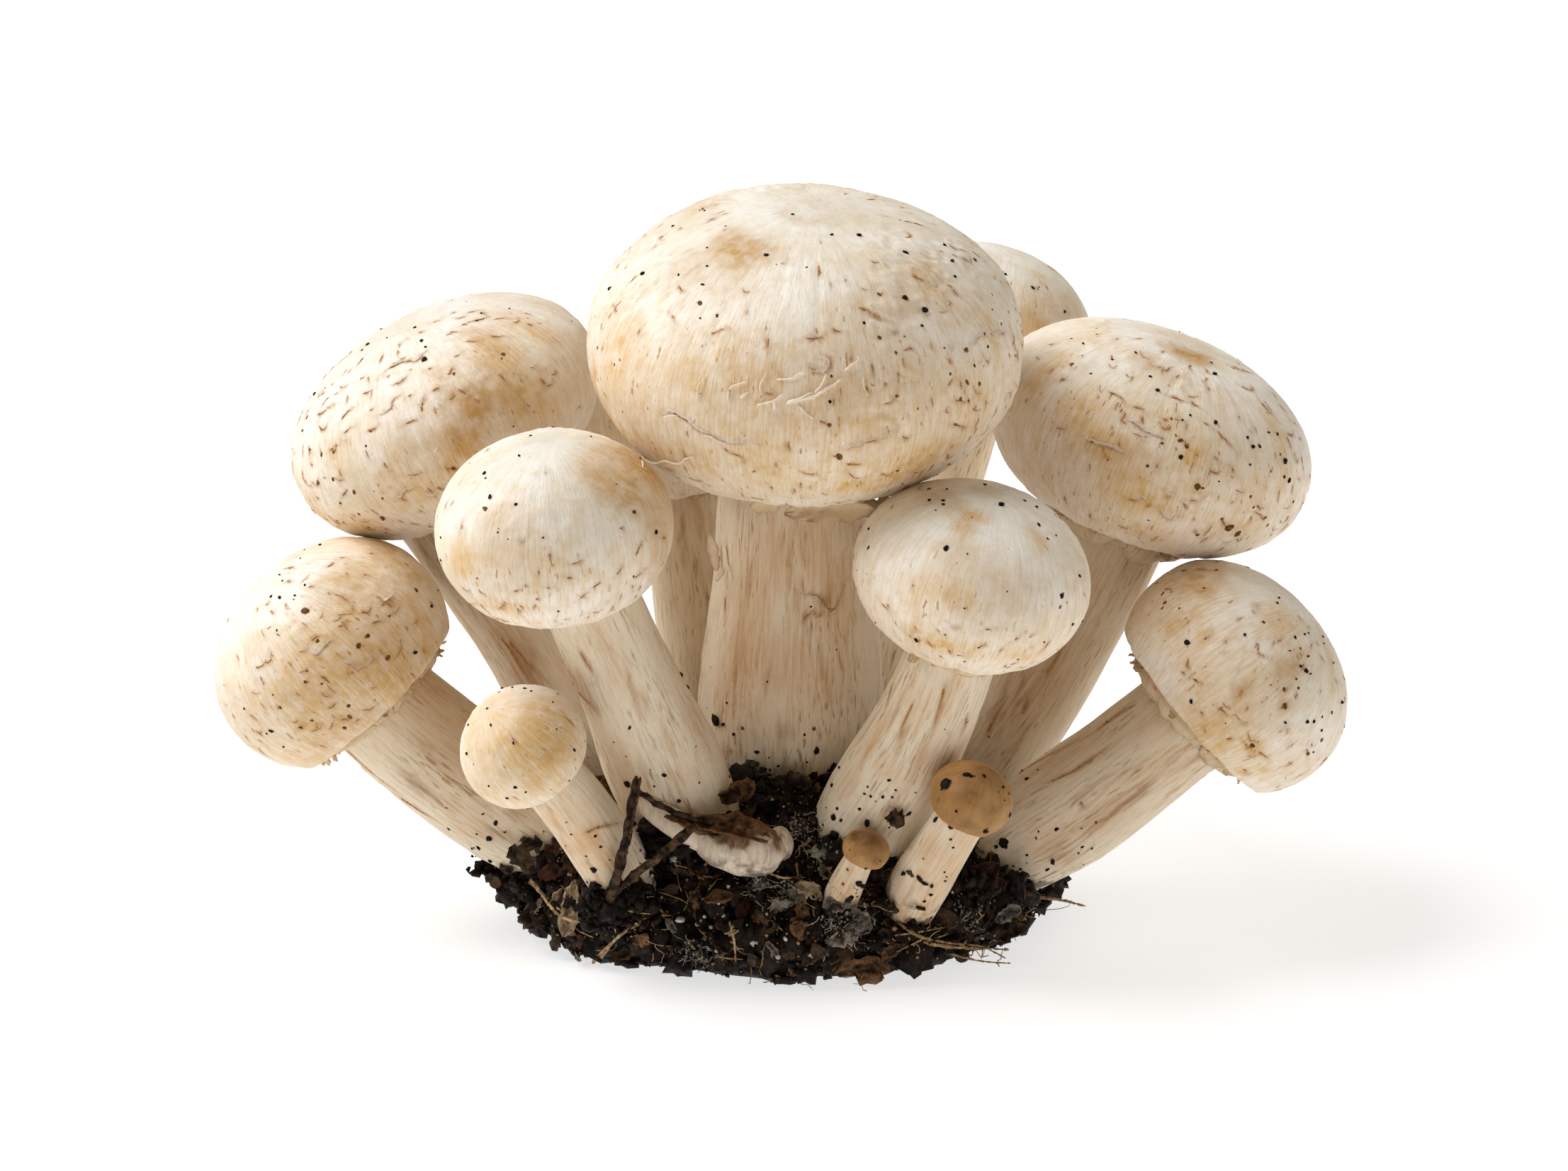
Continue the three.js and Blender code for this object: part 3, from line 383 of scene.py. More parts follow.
        (-48, 299, 1.4, 2.6, 0.55), (-118, 635, 3, 6, 0.25), (-102, 818, 6, 1.5, 0.45),
        (164, 44, 3, 2, 0.3), (-60, 810, 5, 1.2, 0.35), (50, 700, 5, 4, 0.4),
    ], ledges=[
        [(-107, 752), (-104, 766)], [(-99, 832), (-96, 869)], [(-84, 788), (-81, 759)],
        [(-48, 781), (-47, 745), (-46, 723)], [(-68, 730), (-66, 701)],
        [(-142, 752), (-138, 766), (-134, 766)], [(-124, 620), (-125, 606)], [(-94, 861), (-89, 854)],
        [(-62, 876), (-58, 839)], [(-84, 701), (-80, 686)], [(-73, 796), (-72, 759)],
        [(-61, 715), (-58, 686)],
    ], pits=[
        (174, 263, 0.8), (-45, 591, 0.6), (-32, 679, 0.7), (-50, 737, 0.6), (-102, 766, 0.3),
        (-98, 847, 0.4), (-40, 577, 0.4), (-84, 788, 0.35), (-60, 832, 0.4), (-32, 810, 0.4),
    ], specks=[
        (-74, 102, 0.95), (114, 95, 0.45), (180, 190, 0.45), (-161, 277, 0.45), (-152, 234, 0.35),
        (-146, 248, 0.35), (-34, 234, 0.45), (-44, 547, 0.5), (-38, 307, 0.4), (-116, 423, 0.6),
        (-174, 547, 0.5), (-162, 591, 0.4), (-117, 847, 0.5), (-24, 496, 0.45), (6, 182, 0.4),
        (12, 131, 0.4), (-15, 708, 0.35), (-144, 292, 0.25), (-24, 307, 0.3),
    ]),
    small_left=dict(bruises=[
        (-58, 671, 2.4, 2.6, 0.6), (-83, 750, 2, 1.6, 0.4), (-30, 355, 1.2, 1, 0.3), (-50, 500, 7, 7, 0.2),
        (90, 500, 3, 3, 0.3),
    ], tans=[
        (-90, 300, 12, 12, 0.45), (-60, 520, 8, 8, 0.6), (-27, 632, 2, 4, 0.5), (-102, 566, 4, 2.6, 0.3),
        (-95, 289, 3, 4, 0.15), (-66, 382, 2, 2, 0.25), (140, 700, 3, 3, 0.4),
    ], ledges=[
        [(-77, 355), (-78, 395)],
    ], pits=[
        (-142, 421, 0.4), (-11, 487, 0.4),
    ], specks=[
        (-156, 355, 0.55), (-80, 395, 0.4), (-106, 671, 0.4), (-96, 171, 0.4), (100, 13, 0.35),
        (-43, 776, 0.4), (-102, 750, 0.3), (-122, 737, 0.35), (-64, 961, 0.3), (40, 276, 0.35),
        (18, 316, 0.3), (6, 342, 0.3), (-130, 592, 0.25),
    ]),
    small_right=dict(bruises=[
        (-110, 468, 2.2, 2.2, 0.5), (-62, 617, 1.5, 2, 0.5), (-60, 100, 3.4, 3, 0.5),
        (-150, 700, 2, 3, 0.4), (-90, 850, 5, 1.2, 0.45),
    ], tans=[
        (-90, 960, 30, 0.9, 0.5), (-116, 702, 2, 2, 0.4),
    ], pits=[
        (-148, 553, 0.9), (-138, 255, 0.8), (-121, 234, 0.5), (-97, 128, 0.6), (-60, 809, 0.6),
    ], specks=[
        (-148, 553, 0.95), (-138, 290, 0.7), (-128, 262, 0.55), (-92, 149, 0.5), (-24, 298, 0.5),
        (-59, 851, 0.55), (-20, 660, 0.5), (-48, 340, 0.25), (-15, 404, 0.25), (-36, 447, 0.25),
    ]),
    tiny_right=dict(bruises=[
        (-160, 440, 1.2, 0.8, 0.8), (-101, 480, 1.4, 1, 0.4), (-90, 200, 2.6, 2.4, 0.75),
        (-60, 700, 1.6, 1, 0.5),
    ], tans=[
        (-90, 940, 30, 0.5, 0.5), (-81, 600, 1.2, 1, 0.4),
    ], pits=[
        (-173, 440, 0.5), (-176, 280, 0.45), (-52, 720, 0.5), (-60, 800, 0.3),
    ], specks=[
        (174, 680, 0.25),
    ]),
    back_left=dict(bruises=[
        (90, 400, 6, 5, 0.6), (150, 600, 5, 4, 0.5),
    ], tans=[
        (60, 700, 6, 5, 0.5), (120, 800, 6, 4, 0.5), (-60, 400, 5, 5, 0.25),
    ], specks=[
        (-80, 300, 0.5), (-100, 420, 0.4),
    ]),
    back_right=dict(bruises=[
        (80, 300, 5, 4, 0.6), (-50, 480, 4, 4, 0.3),
    ], tans=[
        (-70, 450, 3, 4, 0.35), (120, 700, 6, 4, 0.4), (-30, 400, 3, 3, 0.35), (-60, 250, 3, 2, 0.3),
    ], specks=[
        (-70, 330, 0.5), (-45, 420, 0.4), (-60, 520, 0.4),
    ]),
)

STEM_MARKS = dict(
    centre=dict(bruises=[
        (-67, 648, 1.5, 1.1, 0.8), (-79, 598, 0.9, 2, 0.75), (-78, 562, 0.6, 2.6, 0.65),
        (-88, 656, 0.5, 3, 0.45), (-125, 684, 0.7, 2, 0.5), (-111, 668, 0.4, 1, 0.5),
        (-95, 385, 0.6, 1.3, 0.5), (-91, 377, 0.5, 1, 0.4), (-66, 672, 0.4, 2, 0.4),
        (-99, 775, 0.3, 4, 0.4), (-85, 779, 0.4, 4, 0.35),
    ], tans=[
        (-122, 635, 4, 10, 0.6), (-101, 746, 5, 9, 0.6), (-74, 746, 5, 9, 0.6), (-57, 639, 4, 9, 0.7),
        (-94, 533, 7, 6, 0.6), (-129, 516, 3, 8, 0.7), (-75, 488, 6, 5, 0.5), (-102, 414, 8, 4, 0.3),
    ], ledges=[
        [(-86, 668), (-79, 662), (-72, 658), (-67, 640), (-62, 622), (-56, 626), (-51, 650), (-46, 676)],
        [(-84, 605), (-78, 625), (-71, 618), (-66, 628)], [(-155, 730), (-151, 705), (-144, 676)],
        [(-151, 623), (-149, 582)],
    ], pits=[
        (-106, 484, 0.4), (-58, 541, 0.4), (-122, 377, 0.6), (-76, 389, 0.6), (-69, 648, 0.3),
    ], specks=[
        (-74, 340, 1), (-112, 332, 0.6), (-129, 357, 0.4), (-115, 299, 0.5), (-104, 324, 0.3),
        (-98, 307, 0.35), (-80, 316, 0.3), (-145, 369, 1.2), (-138, 369, 0.6),
    ]),
    left_upper=dict(bruises=[
        (-110, 562, 2, 6, 0.4),
    ], tans=[
        (-167, 621, 3, 9, 0.4), (-113, 575, 4, 9, 0.6), (-167, 489, 4, 6, 0.5),
    ], ledges=[
        [(-121, 648), (-118, 603), (-119, 552), (-118, 507)], [(-116, 626), (-113, 575), (-112, 516)],
        [(-113, 598), (-112, 552), (-109, 520)],
    ], specks=[
        (9, 342, 0.6), (9, 347, 0.4), (8, 315, 0.7),
    ]),
    right_upper=dict(bruises=[
        (-118, 546, 3, 9, 0.3), (-97, 630, 2, 9, 0.3),
    ], tans=[
        (-95, 556, 5, 12, 0.5), (-110, 426, 4, 8, 0.4), (-92, 815, 4, 9, 0.4),
    ], ledges=[
        [(-112, 347), (-115, 398), (-116, 444)], [(-94, 523), (-92, 579), (-92, 625)],
        [(-93, 431), (-94, 477)],
    ], pits=[
        (-109, 352, 0.4),
    ]),
    left_outer=dict(bruises=[
        (-111, 622, 1.1, 2.4, 0.7), (-112, 563, 0.7, 1.6, 0.5), (-102, 338, 1, 2.2, 0.7),
        (-75, 351, 0.8, 1.3, 0.6), (-119, 384, 0.5, 1, 0.6),
    ], tans=[
        (-38, 728, 5, 9, 0.5), (-45, 901, 5, 6, 0.5), (-58, 589, 5, 6, 0.5), (-106, 417, 4, 3, 0.45),
        (-107, 490, 2, 2, 0.5),
    ], ledges=[
        [(-148, 887), (-147, 768), (-140, 662)], [(-162, 815), (-162, 728), (-162, 669)],
        [(-149, 656), (-141, 576), (-137, 497)],
    ], pits=[
        (-111, 510, 0.35), (-89, 576, 0.3),
    ], specks=[
        (-93, 364, 0.5), (-113, 351, 1), (-135, 358, 0.65), (-144, 371, 0.4), (-146, 305, 0.5),
        (-95, 324, 0.3), (-93, 411, 0.3), (-137, 464, 0.4),
    ]),
    right_outer=dict(bruises=[
        (-77, 579, 0.9, 4, 0.7), (-79, 632, 0.8, 1.6, 0.7), (-81, 467, 1.5, 3, 0.4),
        (-70, 329, 2.4, 2.4, 0.35),
    ], tans=[
        (-80, 507, 3, 6, 0.5), (-89, 316, 4, 4, 0.5), (-88, 691, 3, 6, 0.4), (-167, 507, 4, 9, 0.4),
        (-126, 868, 4, 8, 0.35),
    ], ledges=[
        [(163, 309), (176, 434), (-168, 566)], [(-163, 618), (-161, 710), (-162, 783)],
        [(-142, 395), (-135, 520), (-134, 658)], [(-107, 467), (-99, 467)],
    ], pits=[
        (-79, 467, 0.45), (-83, 421, 0.4), (-164, 678, 0.35),
    ], specks=[
        (-163, 362, 0.6), (164, 355, 0.4), (-165, 408, 0.35), (-101, 290, 0.3), (-115, 197, 1),
        (-104, 145, 0.6), (-63, 263, 0.5), (-69, 290, 0.8), (-65, 388, 0.4), (-61, 368, 0.35),
        (-56, 408, 0.3), (-66, 204, 0.4), (-66, 151, 0.35), (-88, 164, 0.25), (-86, 184, 0.25),
        (-78, 197, 0.3), (-51, 224, 0.3), (-90, 237, 0.3), (-97, 355, 0.3),
    ]),
    left_front=dict(bruises=[
        (-130, 723, 0.7, 3, 0.45), (-129, 688, 0.7, 0.5, 0.6),
    ], tans=[
        (-154, 757, 1.2, 4, 0.5), (-137, 718, 1.2, 4, 0.4), (-170, 634, 1.5, 4, 0.3), (-71, 460, 3, 2, 0.3),
    ], ledges=[
        [(-170, 757), (-169, 708), (-170, 663)], [(-169, 777), (-153, 748)],
        [(-160, 728), (-140, 713), (-131, 683)], [(-121, 861), (-117, 812), (-115, 782)],
    ], pits=[
        (-124, 599, 0.35), (-115, 559, 0.35), (-95, 515, 0.3),
    ], specks=[
        (-98, 634, 0.45), (-84, 490, 0.5), (-98, 470, 0.3), (-56, 426, 0.3), (-82, 411, 0.7),
        (-127, 480, 0.8),
    ]),
    right_front=dict(tans=[
        (-85, 791, 0.7, 4, 0.7), (-105, 751, 0.6, 4, 0.6), (-132, 791, 0.5, 4, 0.6), (-81, 870, 1, 3, 0.5),
        (-111, 559, 2, 2, 0.4), (-146, 638, 0.8, 4, 0.7), (-143, 571, 0.8, 4, 0.7), (-83, 638, 1, 5, 0.6),
        (-142, 469, 1.5, 3, 0.4),
    ], ledges=[
        [(-121, 785), (-120, 706), (-116, 644)], [(-93, 864), (-89, 785), (-85, 718)],
        [(-168, 768), (-154, 695)], [(-47, 774), (-44, 734)],
    ], pits=[
        (-71, 734, 0.45), (-43, 757, 0.5), (-70, 542, 0.4), (-104, 475, 0.4),
    ], specks=[
        (-103, 548, 0.4), (-161, 401, 0.5), (170, 378, 0.4), (171, 401, 0.5), (172, 412, 0.6),
        (-170, 446, 0.4), (172, 299, 0.5), (-150, 345, 0.3), (-136, 378, 0.35), (-114, 429, 0.35),
        (-119, 497, 0.3), (-118, 475, 0.3), (-111, 480, 0.5), (-100, 497, 0.4), (-91, 508, 0.3),
        (-100, 407, 1.1), (-134, 350, 0.7), (-125, 362, 0.4), (-143, 299, 0.3), (-123, 311, 1.3),
        (-161, 271, 1.2), (-65, 475, 0.6), (-85, 446, 0.6),
    ]),
    small_left=dict(tans=[
        (-128, 784, 1.5, 2, 0.8), (-94, 629, 3, 2, 0.8), (-138, 621, 1.4, 3, 0.7), (-90, 500, 4, 14, 0.5),
    ], ledges=[
        [(-94, 681), (-65, 664), (-30, 595)],
    ], pits=[
        (-82, 672, 0.3), (-65, 664, 0.4), (-50, 638, 0.3), (-33, 603, 0.35), (-110, 569, 0.5),
        (-79, 509, 0.4),
    ], specks=[
        (-110, 491, 0.9), (-80, 586, 0.4), (-111, 698, 0.3), (-139, 629, 0.25), (-23, 414, 0.4),
    ]),
    small_right=dict(tans=[
        (-123, 758, 2, 3, 0.7), (-107, 615, 1.4, 1.6, 0.7), (-60, 600, 3, 12, 0.6), (-110, 300, 4, 5, 0.5),
    ], specks=[
        (-152, 901, 0.7), (-109, 934, 0.6), (-96, 879, 0.3), (-82, 846, 0.4), (-122, 703, 0.3),
        (-141, 538, 0.8), (-107, 593, 0.8), (-93, 582, 0.8), (-78, 582, 0.6), (-69, 692, 0.3),
        (-58, 659, 0.3), (-55, 626, 0.3), (-70, 516, 0.4), (-76, 462, 0.5),
    ]),
    tiny_right=dict(tans=[
        (-108, 870, 1.2, 1, 0.6), (-80, 600, 3, 5, 0.6),
    ], pits=[
        (-122, 870, 0.5), (-112, 741, 0.5),
    ], specks=[
        (-61, 796, 0.8), (-71, 630, 0.9),
    ]),
)

# What share of its triangles a piece keeps where it is plain, by the ending of its name.
KEPT = dict(
    _cap_skin=0.38, _stem_skin=0.34, soil_mound=0.25, soil_clods=0.24, soil_crumbs=0.5, soil_dust=0.5,
    soil_roots=0.42, soil_mycelium=0.42, pin_flesh=0.3, leaf_scraps_dark=0.45, leaf_scraps_brown=0.5,
    leaf_scraps_grey=0.6, leaf_scraps_tan=0.6, _veil_tissue=0.8, _cap_pits=0.5, _stem_specks=0.6,
    _stem_pits=0.5,
)
PLAIN = 0.2  # a skin that is torn less than this is plain
# The spacing of the points in the skins of the smallest and the hidden mushrooms, against the usual.
GRIDS = dict(small_left=0.75, small_right=0.62, tiny_right=0.5, back_left=1.5, back_right=1.5)

SOCKET = 0.25  # depth of a stem's socket, as a share of the dome
HOLLOW = 0.06  # rise of the underside, as a share of the cap's radius
ROLL = 0.05  # width of the rolled margin, as a share of the same
STEM_BOW = 0.35  # how far each end of a stem holds its direction, as a share of its length
SEED_STEP = 1.3  # from one mushroom to the next
CAP_UNEVENNESS = 0.012
PLUMP = 0.87  # how much fuller than an ellipse the flank of a cap is below its widest

SOIL_SPAN, SOIL_DEPTH, SOIL_WAIST, SOIL_SAG = 38, 29, 6, 0.3
SOIL_PROFILE = [
    (0, 0), (0.84, 0), (0.93, 1.2), (1, 6), (0.96, 10.5), (0.86, 15), (0.72, 19.5), (0.54, 23),
    (0.36, 25), (0, 26),
]
SOIL_TOP, SOIL_FALL = 21, 0.27  # how high the soil stands on the stems, and how it falls off outwards


# Loose soil heaped against the feet of the stems: middle, spread, size of a clod, number.
HEAPS = [
    ((-23.4, -26.7, 11.2), 3.4, 1.8, 70), ((-20.7, -27.1, 12.4), 2.8, 1.7, 46),
    ((-25.6, -28, 13.4), 2, 1.5, 30), ((-17.8, -23.8, 20.5), 3, 1.8, 46),
    ((-15.9, -21.3, 16.6), 3.2, 2, 50), ((-13, -21.9, 14), 3, 1.8, 36), ((7.2, -24.1, 17.6), 3, 1.7, 50),
    ((11.5, -23.6, 16.6), 3, 1.8, 50), ((14.6, -21.1, 12.8), 3.2, 2, 60), ((7.4, -29, 10.4), 2.2, 1.5, 34),
    ((17.4, -26.4, 6.8), 2.4, 1.6, 34), ((26, -22, 12.6), 2.8, 1.9, 40), ((29.5, -17.4, 10), 3, 2, 40),
    ((-31.6, -12.2, 12.4), 3, 2, 44), ((-34.3, -9.5, 8), 3, 1.9, 40), ((-37.8, -7.4, 8.4), 2.4, 1.7, 30),
    ((-42, -5, 10), 1.8, 1.3, 16), ((-1.8, -15, 22.4), 3.6, 2.1, 70), ((1, -13.4, 22.6), 3, 2, 46),
    ((-7, -12, 24), 2, 1.8, 26),
]
# Thin pale roots on the soil: radius and path.
ROOTS = [
    (0.28, [
        (-36.1, -9.9, 9), (-33.7, -11, 7.3), (-31, -16.3, 6.9), (-28.2, -20.4, 7.1), (-25.9, -21.4, 7),
    ]),
    (0.34, [(-26.9, -20, 0.3), (-24.9, -20.9, 3.1), (-22.6, -22.3, 5.7), (-19.9, -23.8, 8.5)]),
    (0.2, [(-24.4, -28, 13.5), (-23.9, -23.3, 8.8), (-23.2, -22.2, 5.7)]),
    (0.2, [(-21.6, -25.7, 10.6), (-19.2, -24.1, 9.6), (-16.4, -23.5, 9.1)]),
    (0.16, [(-16.9, -23.4, 9.1), (-15.6, -23.8, 9), (-14.4, -24.2, 9.6)]),
    (0.16, [(-15.3, -20.2, 15.4), (-13.2, -20.9, 14.9), (-11, -23.2, 14)]),
    (0.16, [(-10.5, -24.6, 13), (-9.7, -24.2, 13.8), (-9.2, -23.6, 14.5)]),
    (0.2, [(-17.2, -22, 11.3), (-17.4, -22.7, 10.1), (-16.6, -23.4, 9.1)]),
    (0.22, [(-13.4, -25.9, 6.1), (-11.7, -26.6, 4.5), (-8.5, -27.5, 4.1), (-4.8, -28.8, 4.1)]),
    (0.28, [(-7.5, -28, 9.7), (-6.9, -28.9, 7.2), (-6.7, -27.9, 3.4)]),
    (0.32, [(3.8, -20.6, 19.2), (1.7, -23.1, 17.9), (1.8, -24.4, 16.4), (2, -25.5, 14.9)]),
    (0.34, [
        (-5.1, -22.5, 18.7), (-4.2, -24.3, 17.4), (-2.1, -25, 15.8), (0.1, -25.4, 15.2), (2, -25.3, 15.2),
    ]),
    (0.3, [(15.6, -26.6, 9), (18.7, -24.8, 6.5), (23.1, -22.1, 4.2), (27.7, -18.8, 2.4), (31.1, -20, 1.1)]),
    (0.26, [(13.3, -20, 0.3), (14.9, -25.9, 4), (19.1, -24.4, 5.9)]),
    (0.2, [(15.3, -25.9, 6.9), (19.1, -25.3, 7.3), (22.6, -23, 6.8)]),
    (0.2, [(18.1, -23.6, 3.2), (20.1, -23.7, 5.3), (23.6, -22.3, 5.7)]),
    (0.26, [(6.4, -28.9, 7.6), (9, -27.8, 9.5)]), (0.2, [(-1.6, -27.6, 9.4), (-0, -27.8, 8.2)]),
    (0.2, [(-0.6, -26, 13.5), (2.1, -26.8, 12.4), (4.3, -27.3, 11.4)]),
    (0.18, [(-30.5, -17.3, 6.6), (-28.9, -19.5, 5.3), (-26.6, -21.4, 4.8)]),
    (0.14, [(-11.9, -26.9, 8.1), (-10.1, -28.6, 6.6), (-9.3, -27.5, 4.3)]),
    (0.16, [(-2.1, -28.4, 7.1), (-1.6, -28.8, 4.6)]),
    (0.22, [(23.2, -21.1, 2.2), (27.4, -20, 0.7), (31.9, -20, 0.3)]),
    (0.16, [(-20.4, -22.5, 5.6), (-17.9, -23.1, 4.6), (-15.5, -24.2, 4.5)]),
]
# Bits of twig.
STICKS = [
    (0.3, [(-23.9, -28.1, 13.5), (-22.7, -29.8, 16.8), (-21.7, -29.9, 19.4)]),
    (0.3, [(-17.4, -21.1, 12.4), (-15, -21.6, 13.4), (-13.3, -20.7, 15)]),
    (0.3, [(-8.5, -25.6, 12.6), (-6.3, -25.3, 13.8), (-4, -25.7, 13.7)]),
    (0.35, [(10.7, -30.6, 15.7), (12.4, -22.4, 13.7), (13.7, -23.9, 16.2)]),
]
# Scraps of leaf and bark: place, length, width, how the length is turned seen from the front, hue.
LEAVES = [
    ((-35.7, -12.8, 15.5), 3.6, 2.3, 10, 'dark'), ((-39.1, -10.1, 11), 2.4, 1.8, -60, 'dark'),
    ((-36.4, -11.9, 12.2), 1.2, 0.9, 30, 'dark'), ((-40.6, -20, 12.6), 2.6, 1.8, -30, 'dark'),
    ((-32.3, -12.4, 14.9), 3, 2, 60, 'red'), ((-30, -12.7, 12.6), 3.4, 2, -60, 'red'),
    ((-33, -11.9, 11.2), 3.6, 2.4, 20, 'red'), ((-29.9, -17.9, 7.7), 7.5, 2.6, 78, 'tan'),
    ((-31.1, -14.6, 9.3), 3.2, 2, 20, 'tan'), ((-27.6, -18.9, 10.6), 3.4, 2, -50, 'dark'),
    ((-4.6, -24.7, 15.8), 3.4, 2.2, 80, 'cream'), ((4.1, -26.2, 13.4), 3.4, 1.6, -50, 'tan'),
    ((-3.4, -25.6, 14.1), 2, 1.2, 10, 'grey'), ((-16.4, -21.7, 12.2), 4, 2.2, 20, 'dark'),
    ((-14.5, -21.2, 14.2), 3.8, 2, -25, 'dark'), ((-9, -25.7, 12.4), 4.2, 2.2, 10, 'brown'),
    ((-12, -24.3, 12.2), 3, 2, 40, 'brown'), ((-0.6, -27.4, 11.6), 4, 2.4, 30, 'grey'),
    ((1.8, -26.5, 12.9), 3.4, 2, -40, 'grey'), ((-3.1, -27.7, 10.5), 3, 2, 10, 'dark'),
    ((7.2, -30, 12.9), 4, 2.6, 10, 'grey'), ((9.7, -27.2, 10.1), 5, 3, -20, 'grey'),
    ((10.7, -27.4, 8.3), 4, 2, 30, 'grey'), ((8.2, -28.5, 7.8), 5, 3, 15, 'grey'),
    ((14.4, -20.9, 13.4), 4.4, 2.6, 70, 'dark'), ((14.2, -28.6, 11.5), 2.6, 1.6, -60, 'dark'),
    ((15.3, -27.7, 11.5), 2.6, 1.6, 15, 'dark'), ((12.9, -24.3, 12.1), 3.2, 2.2, -30, 'red'),
    ((17.4, -31.3, 17.8), 1.6, 0.7, -35, 'dark'), ((18.9, -30.2, 12.3), 1.6, 0.8, -20, 'dark'),
    ((27.4, -15.5, 12.1), 6.4, 4, 35, 'red'), ((25.1, -18.7, 11.2), 4.4, 3, -20, 'red'),
    ((29.4, -16.3, 10.3), 4, 2.4, 60, 'red'), ((25.3, -20.9, 8.6), 5, 2.6, 40, 'grey'),
    ((22.6, -22.4, 8.3), 4.6, 2.4, -20, 'dark'), ((28.3, -19, 7.3), 4.6, 2.2, 60, 'dark'),
    ((31.2, -17.1, 7.1), 4, 2, 30, 'grey'), ((23.1, -22.6, 5.6), 5, 2.6, 10, 'dark'),
    ((33.4, -12.3, 7.7), 4, 2.6, -10, 'dark'), ((31.9, -20, 4.9), 4.4, 2.4, 30, 'dark'),
    ((9.8, -26.9, 2.6), 9, 3.6, -18, 'brown'), ((7.2, -28.4, 5), 6, 3, 20, 'dark'),
    ((13.2, -26.4, 3.5), 5.4, 2.6, 55, 'brown'), ((15.1, -26.2, 6.6), 4.6, 2.6, -15, 'dark'),
    ((-0.1, -28.5, 5.5), 4, 2.4, 0, 'dark'), ((4.3, -28.8, 5.1), 4.6, 2.6, 40, 'dark'),
    ((2.3, -28.1, 8.5), 3.4, 2.2, -30, 'brown'), ((-34.8, -10.5, 5.2), 4, 2.4, 30, 'brown'),
    ((-35.9, -20, 6.1), 3.6, 2.2, -30, 'dark'), ((-22.5, -21.4, 2.3), 3.6, 2, 20, 'dark'),
    ((-19.9, -22.4, 4.8), 3, 2, 60, 'brown'), ((-8.3, -23.2, 15.6), 3, 1.8, -60, 'brown'),
    ((-6, -22.8, 18.1), 2.6, 1.6, -50, 'dark'), ((-1.8, -23, 18.7), 2.4, 1.6, 60, 'dark'),
    ((5.3, -22.4, 18), 3.4, 2.4, 0, 'grey'), ((-24.1, -19.7, 25.9), 4.4, 2.4, -40, 'brown'),
    ((-4.6, -10.6, 26.9), 3, 2, 30, 'dark'), ((2.3, -11.2, 24.5), 3.4, 2.2, -20, 'dark'),
]
# White grains: place and size.
GRAINS = [
    ((-14.2, -24.7, 8.6), 1.3), ((-12.1, -26.6, 8.4), 0.9), ((-10, -27.7, 8.8), 0.8),
    ((-8.3, -27.5, 10.5), 0.7), ((-9.7, -28.1, 8.1), 0.6), ((-4.1, -29.2, 6.6), 1.0),
    ((-3.6, -29, 6.7), 0.7), ((-0.9, -28.7, 4.6), 0.7), ((0.6, -26.4, 12.9), 0.5),
    ((-18.3, -24.6, 15), 0.6), ((0.3, -28, 7.2), 0.6), ((1.3, -28, 9.2), 0.5), ((-15.4, -20.9, 16.4), 1.0),
    ((-1.6, -16.8, 23.8), 0.6), ((-0.1, -18.4, 23.1), 0.5), ((-0.8, -14.1, 24.2), 0.4),
    ((10.9, -26.2, 11.3), 0.9), ((3.5, -28.5, 5), 0.6), ((4.8, -28.8, 4.6), 0.5), ((-9.5, -28, 5.3), 0.5),
    ((-6.5, -27.2, 11.1), 0.5), ((-11, -26.7, 9.9), 0.5),
]
# Where grey threads of mycelium spread: place and reach.
MYCELIUM = [
    ((4.8, -21.8, 18), 2.2), ((-0.6, -26.7, 12.4), 2.8), ((1.3, -26.2, 13.3), 2.4),
    ((8.7, -29.5, 11.6), 3.6), ((10.7, -27, 9.2), 3.4), ((7.2, -28.6, 8.7), 3), ((25.1, -21, 8), 2.4),
    ((-6.5, -23.8, 16.2), 2.4), ((-3.6, -25.2, 14.8), 2), ((2.1, -20, 20.8), 2), ((-12, -26.3, 4.2), 2.4),
]


# ------------------------------------------------------------------ settings


def linear(colour):
    """An sRGB hex colour as linear red, green and blue."""
    channels = [int(colour[i : i + 2], 16) / 255 for i in (1, 3, 5)]
    return tuple(c / 12.92 if c <= 0.04045 else ((c + 0.055) / 1.055) ** 2.4 for c in channels)


def colour_setting(name, description, default):
    return bpy.props.FloatVectorProperty(
        name=name, description=description, subtype="COLOR", size=3, min=0, max=1,
        default=linear(default),
    )


def strength_setting(name, description, default, high):
    return bpy.props.FloatProperty(
        name=name, description=description, default=default, min=0, max=high
    )


def length_setting(name, description, default, low, high):
    return bpy.props.FloatProperty(
        name=name, description=description, subtype="DISTANCE", unit="LENGTH",
        default=default * MM, min=low * MM, max=high * MM, precision=5,
    )


class CapSettings(bpy.types.PropertyGroup):
    """Sizes and colours of the caps."""

    grid: length_setting("Grid", "Spacing of the points of a cap's skin", 0.4, 0.2, 2)
    lump: length_setting("Lumps", "Height of the broad lumps of a cap", 0.45, 0, 2)
    lift: length_setting("Scale lift", "How far the free edge of a torn scale stands up", 0.34, 0, 1)
    cream: colour_setting("Cream", "Colour of fresh cap skin", "#fdf9f2")
    tan: colour_setting("Tan", "Colour of the streaks in the skin", "#dcc599")
    stained: colour_setting("Stained", "Colour of an orange-tan patch", "#ddb26b")
    bruise: colour_setting("Bruise", "Colour of a bruised place", "#c29249")
    torn: colour_setting("Torn edge", "Colour of a dried torn edge", "#ac7237")
    brown: colour_setting("Brown", "Colour of the small brown caps", "#c0945d")


